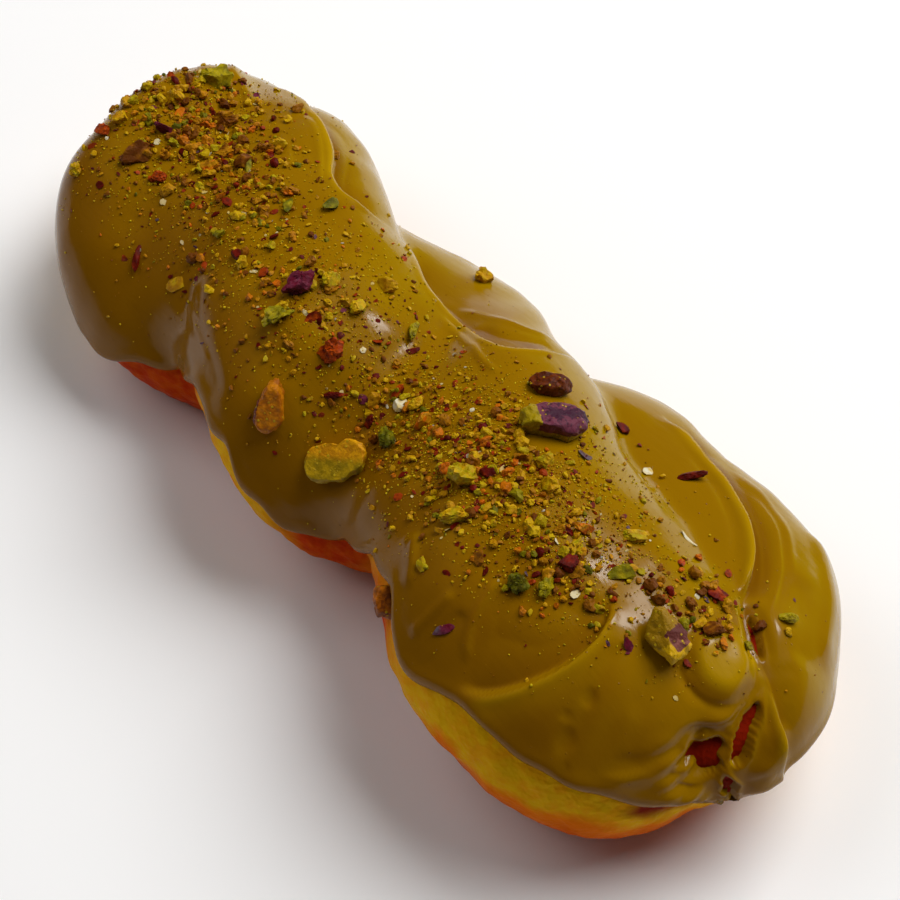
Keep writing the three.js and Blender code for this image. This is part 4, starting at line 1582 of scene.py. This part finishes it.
@dataclass
class Crumbs:
    """All the small chopped pieces, one joined mesh for each kind.

    Pairs are the least and the most of a random share. DETAIL holds how many points go round a
    lump and in how many rows, and MEALY the height and field of each swelling on a clump. Clumps
    sample those fields APART from each other, so that no two are alike.
    """

    icing: Icing
    kernels: tuple[tuple[float, float, float], ...]
    tilt: float = 0.35
    lift_share: float = 0.5
    least_lift: float = 0.12
    upward: tuple[float, float] = (0.35, 0.75)
    size_skew: float = 1.5
    widths: tuple[float, float] = (0.55, 0.95)
    heights: tuple[float, float] = (0.8, 1.15)
    named_detail: tuple[int, int] = (26, 15)
    named_least_width: float = 0.8
    named_seed: int = 900
    tone_spread: float = 0.22
    tone_wavelength: float = 1.6

    DUST_DETAIL = (5, 2)
    DETAIL = {Form.LUMP: (7, 4), Form.CLUMP: (11, 7), Form.FLAKE: (8, 4)}
    CUTS = {Form.LUMP: 5, Form.CLUMP: 3, Form.FLAKE: 5}
    MEALY = ((0.11, Ripple(31, 1.3)), (0.07, Ripple(32, 0.6)))
    APART = 9.0
    FLAKE_THINNING = 0.6
    FLAKE_BENDS = (-1.2, 2.2)
    FLAKE_LEVEL = 0.3

    def draw_places(
        self, rng: np.random.Generator, count: int, patches: tuple[Sprinkle, ...]
    ) -> tuple[Array, Array]:
        """Random places on the icing's top, thicker where the patches are.

        Args:
            rng: the seeded stream of numbers.
            count: how many places.
            patches: where crumbs fell more thickly.

        Returns:
            Points on the outer sheet and their normals.
        """
        sheet, normals = self.icing.sheet, self.icing.normals
        corner = sheet[:-1, :-1]
        area = np.linalg.norm(np.cross(sheet[1:, :-1] - corner, sheet[:-1, 1:] - corner), axis=-1)
        density = sum(patch(corner[..., 0], corner[..., 1]) for patch in patches)
        upward = smooth_step(*self.upward, normals[:-1, :-1, 2])
        weight = area * density * upward
        for x, y, keep_off in self.kernels:
            weight = weight * (np.hypot(corner[..., 0] - x, corner[..., 1] - y) > keep_off)
        chosen = rng.choice(weight.size, count, p=(weight / weight.sum()).ravel())
        i, j = np.unravel_index(chosen, weight.shape)
        u, v = rng.random((2, count, 1))
        low = sheet[i, j] * (1 - u) + sheet[i + 1, j] * u
        high = sheet[i, j + 1] * (1 - u) + sheet[i + 1, j + 1] * u
        return low * (1 - v) + high * v, normals[i, j]

    def lay(self, rng: np.random.Generator, lumps: Array, seats: tuple[Array, Array], sizes: Array,
            turns: Array) -> Array:
        """Scales, tilts and seats each lump so that it's sunk a little into the icing.

        Args:
            rng: the seeded stream of numbers.
            lumps: unit lumps.
            seats: where each goes and the icing's normal there.
            sizes: each lump's half sizes.
            turns: each lump's turn.

        Returns:
            All points of all lumps.
        """
        places, normals = seats
        sized = lumps * sizes[:, None, :]
        lean = normals + self.tilt * rng.normal(size=normals.shape)
        lean /= np.linalg.norm(lean, axis=-1, keepdims=True)
        axes = frames_on(lean, turns)
        turned = np.einsum("nvk,nkc->nvc", sized, axes)
        lift = np.maximum(self.lift_share * sizes[:, 2:], self.least_lift) * normals
        return turned + (places + lift)[:, None, :]

    def broken(self, rng: np.random.Generator, ball: Array, count: int, form: Form) -> Array:
        """Unit lumps of one form: cut flat, or rough and mealy, or thin and bent.

        A mealy clump swells by a fine random field, and a flake is lifted along its length by the
        square of the place on it.

        Args:
            rng: the seeded stream of numbers.
            ball: the ball's points.
            count: how many.
            form: which form.

        Returns:
            An array of lumps by points by three.
        """
        lumps = cut_lumps(rng, ball, count, self.CUTS[form])
        if form is Form.CLUMP:
            apart = lumps + self.APART * rng.random((count, 1, 3))
            swell = sum(height * ripple(apart) for height, ripple in self.MEALY)
            lumps = lumps * (1 + swell)[..., None]
        if form is Form.FLAKE:
            lumps = lumps * np.array([1.0, 1.0, self.FLAKE_THINNING])
            bend = rng.uniform(*self.FLAKE_BENDS, (count, 1))
            lumps[..., 2] += bend * (lumps[..., 0] ** 2 - self.FLAKE_LEVEL)
        return lumps

    def batch(self, lot: Batch) -> tuple[Array, Faces, Array]:
        """One seeded lot.

        Args:
            lot: which lot.

        Returns:
            Its points, faces and the tone at each point.
        """
        rng = np.random.default_rng(lot.seed)
        detail = self.DUST_DETAIL if lot.nut is Nut.DUST else self.DETAIL[lot.form]
        ball, faces = ball_grid(*detail)
        seats = self.draw_places(rng, lot.count, lot.patches)
        size = lot.least * (lot.most / lot.least) ** (rng.random(lot.count) ** self.size_skew)
        width = size * rng.uniform(*self.widths, lot.count)
        height = width * lot.form.value * rng.uniform(*self.heights, lot.count)
        lumps = self.broken(rng, ball, lot.count, lot.form)
        turns = rng.uniform(0, math.pi, lot.count)
        points = self.lay(rng, lumps, seats, np.stack([size, width, height], -1), turns)
        tones = np.repeat(rng.random(lot.count), len(ball))
        return self.joined(points, faces, tones)

    def named(self, piece: Piece, seed: int) -> tuple[Array, Faces, Array]:
        """A larger piece, at its own place.

        Args:
            piece: which piece.
            seed: the seed of its shape.

        Returns:
            Its points, faces and tones.
        """
        rng = np.random.default_rng(seed)
        ball, faces = ball_grid(*self.named_detail)
        seats = self.icing.seat(np.array([piece.x]), np.array([piece.y]))
        height = max(piece.width, self.named_least_width) * piece.form.value
        lumps = self.broken(rng, ball, 1, piece.form)
        sizes = np.array([[piece.length, piece.width, height]])
        points = self.lay(rng, lumps, seats, sizes, np.radians([piece.degrees]))
        tones = piece.tone + self.tone_spread * Ripple(seed, self.tone_wavelength)(points[0])
        return self.joined(points, faces, np.clip(tones, 0, 1))

    @staticmethod
    def joined(points: Array, faces: Faces, tones: Array) -> tuple[Array, list, Array]:
        """Many copies of one mesh as one.

        Args:
            points: lumps by points by three.
            faces: one lump's faces.
            tones: the tone at each point.

        Returns:
            All points, all faces and the tones.
        """
        count, each, _ = points.shape
        shifts = (np.arange(count) * each).tolist()
        moved = [[index + shift for index in face] for shift in shifts for face in faces]
        return points.reshape(-1, 3), moved, tones

    def add(self, place: Placement) -> list[bpy.types.Object]:
        """Makes one dressed piece for each kind.

        Args:
            place: the shift to the CAD frame.

        Returns:
            The pieces.
        """
        made = []
        for nut in Nut:
            parts = [self.batch(lot) for lot in BATCHES if lot.nut is nut]
            parts += [
                self.named(piece, self.named_seed + i)
                for i, piece in enumerate(PIECES) if piece.nut is nut
            ]
            shifts = np.cumsum([0] + [len(points) for points, _, _ in parts]).tolist()
            faces = [
                [index + shift for index in face]
                for shift, (_, own, _) in zip(shifts, parts) for face in own
            ]
            points = np.concatenate([points for points, _, _ in parts])
            piece = add_mesh(nut.value, place.to_frame(points), faces, False)
            add_values(piece, "tone", np.concatenate([tones for _, _, tones in parts]))
            piece.data.materials.append(NUT_FINISHES[nut].make())
            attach(piece, "root")
            made.append(piece)
        return made


@dataclass(frozen=True)
class Kernel:
    """A large piece of kernel: the node it replaces, its place, half sizes, turn and how it's cut."""

    node: str
    x: float
    y: float
    half: Point
    turn: float
    sunk: float
    seed: int
    cuts: int
    squareness: float = 0.8
    taper: float = 0.0
    flat_top: float = 1.0
    dip: float = 0.0
    nearest_cut: float = 0.62
    outward: Point | None = None
    height: float = 0.0


KERNELS: tuple[Kernel, ...] = (
    Kernel("pistachio_half", -1.5, -21.5, (5.9, 3.7, 2.4), 1.0, 0.9, 3, 0, 0.9, flat_top=0.42, dip=0.26),
    Kernel("pistachio_brown", -15, -25, (4.8, 3.3, 2.3), 2.2, 0.8, 4, 1, 0.95, taper=0.55),
    Kernel("pistachio_purple", 23, 5, (5.8, 3.3, 2.5), 1.15, 0.8, 5, 1, 0.75, flat_top=0.8),
    Kernel("pistachio_skinned", 15.5, 11, (4, 2.2, 2), 1.05, 0.6, 6, 2, 0.95, taper=0.2),
    Kernel("pistachio_chunk", 63, -7.5, (4.5, 3.3, 2.6), 0.1, 0.9, 7, 9, 0.5, nearest_cut=0.48),
    Kernel("pistachio_notch", 26, -32, (2.9, 2.6, 2.3), 0.0, 1.3, 8, 4, 0.9,
           outward=(-0.47, -0.85, 0.26), height=30.5),
)


@dataclass(frozen=True)
class KernelFinish:
    """Kernel flesh, papery skin over the part where the skin value is high, and yellow dust."""

    name: str
    flesh: tuple
    flesh_dark: tuple
    skin: tuple
    skin_dark: tuple
    soft: float = 0.08
    dust: tuple = tint(190, 158, 12)
    shade_size: float = 0.0016
    grain_size: float = 0.0011
    dust_spacing: float = 0.0010
    dust_depth: float = 0.0001
    dust_patch: float = 0.003
    skin_size: float = 0.0008
    skin_depth: float = 0.0003

    def make(self) -> bpy.types.Material:
        """Builds the material."""
        finish = Finish(self.name, 0.5)
        shade = finish.attribute("shade")
        mottle = finish.range(finish.noise(self.shade_size, 5.0), 0.3, 0.7, -0.45, 0.45)
        cloud = finish.math("ADD", shade, mottle)
        flesh = finish.mix(finish.range(cloud, 0.2, 0.8), self.flesh, self.flesh_dark)
        grain = finish.noise(self.grain_size, 6.0, distortion=1.0)
        worn = finish.math("ADD", shade, finish.range(grain, 0.3, 0.7, -0.5, 0.5))
        skin = finish.mix(finish.range(worn, 0.2, 0.8), self.skin, self.skin_dark)
        edge = finish.math("ADD", finish.attribute("skin"), finish.range(grain, 0.3, 0.7, -0.12, 0.12))
        base = finish.mix(finish.range(edge, 0.5 - self.soft, 0.5 + self.soft), flesh, skin)
        spots = finish.range(finish.cells(self.dust_spacing), 0.26, 0.18)
        thin = finish.range(finish.noise(self.dust_patch, 2.0), 0.44, 0.54, 0.0, 0.9)
        finish.colour(finish.mix(finish.math("MULTIPLY", spots, thin), base, self.dust))
        normal = finish.bump(finish.noise(self.skin_size, 6.0), self.skin_depth)
        normal = finish.bump(spots, self.dust_depth, under=normal)
        finish.link(normal, finish.shader.inputs["Normal"])
        finish.set(IOR=1.45, Specular_IOR_Level=0.3)
        return finish.material


KERNEL_FINISHES: dict[str, KernelFinish] = {
    "pistachio_half": KernelFinish(
        "kernel_half", tint(162, 128, 4), tint(134, 108, 2), tint(208, 146, 4), tint(182, 120, 2), 0.45),
    "pistachio_brown": KernelFinish(
        "kernel_brown", tint(180, 108, 2), tint(150, 82, 2), tint(110, 34, 2), tint(84, 26, 2)),
    "pistachio_purple": KernelFinish(
        "kernel_purple", tint(150, 126, 2), tint(118, 102, 2), tint(104, 46, 62), tint(58, 20, 40)),
    "pistachio_skinned": KernelFinish(
        "kernel_skinned", tint(190, 150, 4), tint(160, 116, 2), tint(102, 42, 2), tint(72, 24, 2)),
    "pistachio_chunk": KernelFinish(
        "kernel_chunk", tint(196, 152, 2), tint(140, 104, 2), tint(124, 70, 60), tint(92, 42, 36)),
    "pistachio_notch": KernelFinish(
        "kernel_notch", tint(176, 96, 4), tint(124, 62, 4), tint(150, 78, 4), tint(104, 48, 4)),
}


@dataclass
class KernelMaker:
    """Builds the large kernels as rounded blocks with cut faces and a rough skin.

    Lengths are shares of a kernel's half sizes. Each roughness is a height in millimetres, a shift
    of the kernel's seed and a wavelength in millimetres.
    """

    icing: Icing
    around: int = 64
    rows: int = 40
    farthest_cut: float = 0.88
    dent_place: float = 0.1
    dent_length: float = 0.3
    pressed: float = 0.9
    hollow_depth: float = 0.16
    hollow_below: float = 0.7
    roughness: tuple[tuple[float, int, float], ...] = ((0.14, 0, 2.6), (0.07, 50, 1.0))

    def shape(self, kernel: Kernel) -> tuple[Array, Faces]:
        """A superellipsoid: each coordinate of a ball raised to a power, then cut and roughened.

        Its width shrinks towards its tip by the taper, its upper part is pressed flat and, on a
        half kernel, hollowed by a fourth power, and a bell of the place along it dents one edge.

        Args:
            kernel: which kernel.

        Returns:
            Its points about its own middle, in millimetres, and its faces.
        """
        ball, faces = ball_grid(self.around, self.rows)
        block = np.sign(ball) * np.abs(ball) ** kernel.squareness
        rng = np.random.default_rng(kernel.seed)
        for _ in range(kernel.cuts):
            way = rng.normal(size=3)
            way /= np.linalg.norm(way)
            beyond = np.maximum(block @ way - rng.uniform(kernel.nearest_cut, self.farthest_cut), 0)
            block = block - beyond[:, None] * way
        x, y, z = block.T
        dent = kernel.dip * bell(x - self.dent_place, self.dent_length) * np.maximum(y, 0)
        y = y * (1 - kernel.taper * (0.5 + 0.5 * x)) - dent
        over = np.maximum(z - kernel.flat_top, 0)
        hollow = self.hollow_depth * (1 - np.minimum(np.hypot(x, y), 1) ** 4) * (over > 0)
        z = z - self.pressed * over - (hollow if kernel.flat_top < self.hollow_below else 0.0)
        points = np.stack([x, y, z], -1) * np.array(kernel.half)
        rough = sum(
            height * Ripple(kernel.seed + shift, wavelength)(points)
            for height, shift, wavelength in self.roughness
        )
        return points * (1 + rough / kernel.half[1])[:, None], faces

    def add(self, place: Placement, kernel: Kernel) -> bpy.types.Object:
        """Makes the piece and dresses it.

        Args:
            place: the shift to the CAD frame.
            kernel: which kernel.

        Returns:
            The finished piece.
        """
        local, faces = self.shape(kernel)
        if kernel.outward is None:
            seat, normal = self.icing.seat(np.array([kernel.x]), np.array([kernel.y]))
        else:
            seat = np.array([[kernel.x, kernel.y, kernel.height]])
            normal = np.array([kernel.outward]) / np.linalg.norm(kernel.outward)
        axes = frames_on(normal, np.array([kernel.turn]))[0]
        lift = kernel.half[2] - kernel.sunk
        points = local @ axes + seat + lift * normal
        piece = add_mesh(kernel.node + "_kernel", place.to_frame(points), faces, True)
        skin, shade = self.colouring(kernel, local / np.array(kernel.half))
        add_values(piece, "skin", skin)
        add_values(piece, "shade", shade)
        piece.data.materials.append(KERNEL_FINISHES[kernel.node].make())
        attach(piece, "root")
        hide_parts(kernel.node)
        return piece

    @staticmethod
    def colouring(kernel: Kernel, unit: Array) -> tuple[Array, Array]:
        """Where the skin is and where each colour darkens, from 0 to 1.

        Args:
            kernel: which kernel.
            unit: its points in its own unit coordinates.

        Returns:
            The skin's share and the shade at each point.
        """
        x, y, z = unit.T
        even = np.full_like(x, 0.5)
        if kernel.node == "pistachio_purple":
            skin = smooth_step(-0.62, -0.5, x) * smooth_step(-0.4, -0.2, z + 0.25 * y)
            return skin, 0.2 + 0.8 * bell(y - 0.05, 0.35) * smooth_step(-0.5, -0.2, x)
        if kernel.node == "pistachio_skinned":
            return smooth_step(0.5, 0.25, y + 0.45 * x), even
        if kernel.node == "pistachio_chunk":
            skin = smooth_step(-0.1, 0.05, x) * smooth_step(0.82, 0.72, x) * smooth_step(-0.3, -0.15, y)
            return skin * smooth_step(-0.1, 0.1, z), smooth_step(0.55, 0.25, x - 0.3 * y)
        if kernel.node == "pistachio_half":
            return smooth_step(-0.35, 0.45, y + 0.45 * x), 0.4 + 0.3 * bell(np.hypot(x, y), 0.6)
        if kernel.node == "pistachio_brown":
            return smooth_step(0.45, 0.7, y), even
        return smooth_step(-0.3, 0.4, x), even


# ---- The studio ----------------------------------------------------------------------------------


class Seen(Enum):
    """What a light does: it lights matt surfaces, or it is mirrored by glossy ones."""

    MATT = "matt"
    GLOSS = "gloss"


@dataclass(frozen=True)
class Light:
    """A rectangular light that faces the twist: place and size in metres and power in watts."""

    name: str
    place: Point
    size: tuple[float, float]
    power: float
    seen: Seen


# A soft light at the right, a fill at the left and a skylight for the gloss.
LIGHTS: tuple[Light, ...] = (
    Light("overhead", (0.1, 1.0, 1.3), (1.3, 1.3), 33.0, Seen.MATT),
    Light("fill", (-1.0, -0.5, 1.1), (1.2, 1.2), 7.0, Seen.MATT),
    Light("skylight", (0.13, 0.86, 0.98), (0.3, 0.24), 6.5, Seen.GLOSS),
)


@dataclass
class Studio:
    """A pale floor, soft light and the camera at the photograph's viewing angle."""

    azimuth: float = 50.0
    elevation: float = 55.0
    distance: float = 420.0
    focal_pixels: float = 2330.0
    frame_pixels: float = 900.0
    target: Point = (0.0, 0.0, 18.0)
    target_pixel: tuple[float, float] = (440.0, 445.0)
    sensor: float = 36.0
    floor_half: float = 3.0
    floor_roughness: float = 0.7
    floor_colour: tuple = tint(250, 249, 248)
    room_colour: tuple = (1.0, 0.98, 0.95, 1)
    room_strength: float = 0.05

    def add_floor(self) -> None:
        """A large pale floor under the twist."""
        corners = np.array([[-1, -1, 0], [1, -1, 0], [1, 1, 0], [-1, 1, 0]]) * self.floor_half
        mesh = bpy.data.meshes.new("floor")
        mesh.from_pydata(corners.tolist(), [], [(0, 1, 2, 3)])
        floor = bpy.data.objects.new("floor", mesh)
        bpy.context.scene.collection.objects.link(floor)
        finish = Finish("floor", self.floor_roughness)
        finish.shader.inputs["Base Color"].default_value = self.floor_colour
        mesh.materials.append(finish.material)

    @staticmethod
    def add_light(light: Light) -> None:
        """Hangs a light at its place and turns it to the twist.

        Args:
            light: which light.
        """
        data = bpy.data.lights.new(light.name, "AREA")
        data.shape = "RECTANGLE"
        data.size, data.size_y = light.size
        data.energy = light.power
        lamp = bpy.data.objects.new(light.name, data)
        lamp.visible_glossy = light.seen is Seen.GLOSS
        lamp.visible_diffuse = light.seen is Seen.MATT
        bpy.context.scene.collection.objects.link(lamp)
        way = -np.array(light.place, float)
        yaw = math.atan2(way[1], way[0]) - math.pi / 2
        drop = math.atan2(-way[2], math.hypot(way[0], way[1]))
        lamp.location = light.place
        lamp.rotation_euler = (math.pi / 2 - drop, 0, yaw)

    def add_room(self) -> None:
        """The dim room round the twist."""
        world = bpy.data.worlds.new("room")
        bpy.context.scene.world = world
        world.use_nodes = True
        background = world.node_tree.nodes["Background"]
        background.inputs["Color"].default_value = self.room_colour
        background.inputs["Strength"].default_value = self.room_strength

    def add_camera(self, place: Placement) -> None:
        """The camera, aimed so that the target falls on its pixel.

        Args:
            place: the shift to the CAD frame.
        """
        around, up = math.radians(self.azimuth), math.radians(self.elevation)
        back = np.array([
            math.sin(around) * math.cos(up), -math.cos(around) * math.cos(up), math.sin(up),
        ])
        data = bpy.data.cameras.new("camera")
        data.sensor_width = self.sensor
        data.lens = self.focal_pixels / self.frame_pixels * self.sensor
        middle = self.frame_pixels / 2
        data.shift_x = (middle - self.target_pixel[0]) / self.frame_pixels
        data.shift_y = (self.target_pixel[1] - middle) / self.frame_pixels
        data.clip_start, data.clip_end = 0.01, 20.0
        camera = bpy.data.objects.new("camera", data)
        bpy.context.scene.collection.objects.link(camera)
        camera.location = place.to_frame(np.array(self.target) + back * self.distance)
        camera.rotation_euler = (math.pi / 2 - up, 0, around)
        bpy.context.scene.camera = camera

    def add(self, place: Placement) -> None:
        """Sets the whole stage.

        Args:
            place: the shift to the CAD frame.
        """
        self.add_floor()
        for light in LIGHTS:
            self.add_light(light)
        self.add_room()
        self.add_camera(place)
        bpy.context.scene.view_settings.view_transform = "Standard"


# ---- Putting it together -------------------------------------------------------------------------

# How much of a large kernel's half length the small crumbs stay away from its middle.
KEEP_OFF_SHARE = 0.8


def placement(points: Array) -> Placement:
    """The shift that lays the dough's box over the CAD dough's box.

    Args:
        points: the dough's points in the twist's own frame.

    Returns:
        The shift.
    """
    low, high = (np.array(corner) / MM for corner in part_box("dough"))
    own = (points.min(0) + points.max(0)) / 2
    shift = (low + high) / 2 - own
    shift[2] = 0.0
    return Placement(shift)


def report(piece: bpy.types.Object) -> None:
    """Logs a piece's name and its count of triangles."""
    triangles = sum(len(face.vertices) - 2 for face in piece.data.polygons)
    log.info("%s: %d triangles", piece.name, triangles)


def main() -> None:
    """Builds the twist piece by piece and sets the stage."""
    logging.basicConfig(level=logging.INFO, format="%(message)s")
    form = TwistForm()
    dough = Dough(form)
    points, faces = dough.build()
    place = placement(points)
    log.info("shift %s mm", np.round(place.shift, 3))
    Studio().add(place)
    report(dough.add(place, points, faces))
    icing = Icing(form, dough)
    report(icing.add(place))
    maker = KernelMaker(icing)
    for kernel in KERNELS:
        report(maker.add(place, kernel))
    keep_off = tuple((kernel.x, kernel.y, KEEP_OFF_SHARE * kernel.half[0]) for kernel in KERNELS)
    for piece in Crumbs(icing, keep_off).add(place):
        report(piece)


if __name__ == "__main__":
    main()
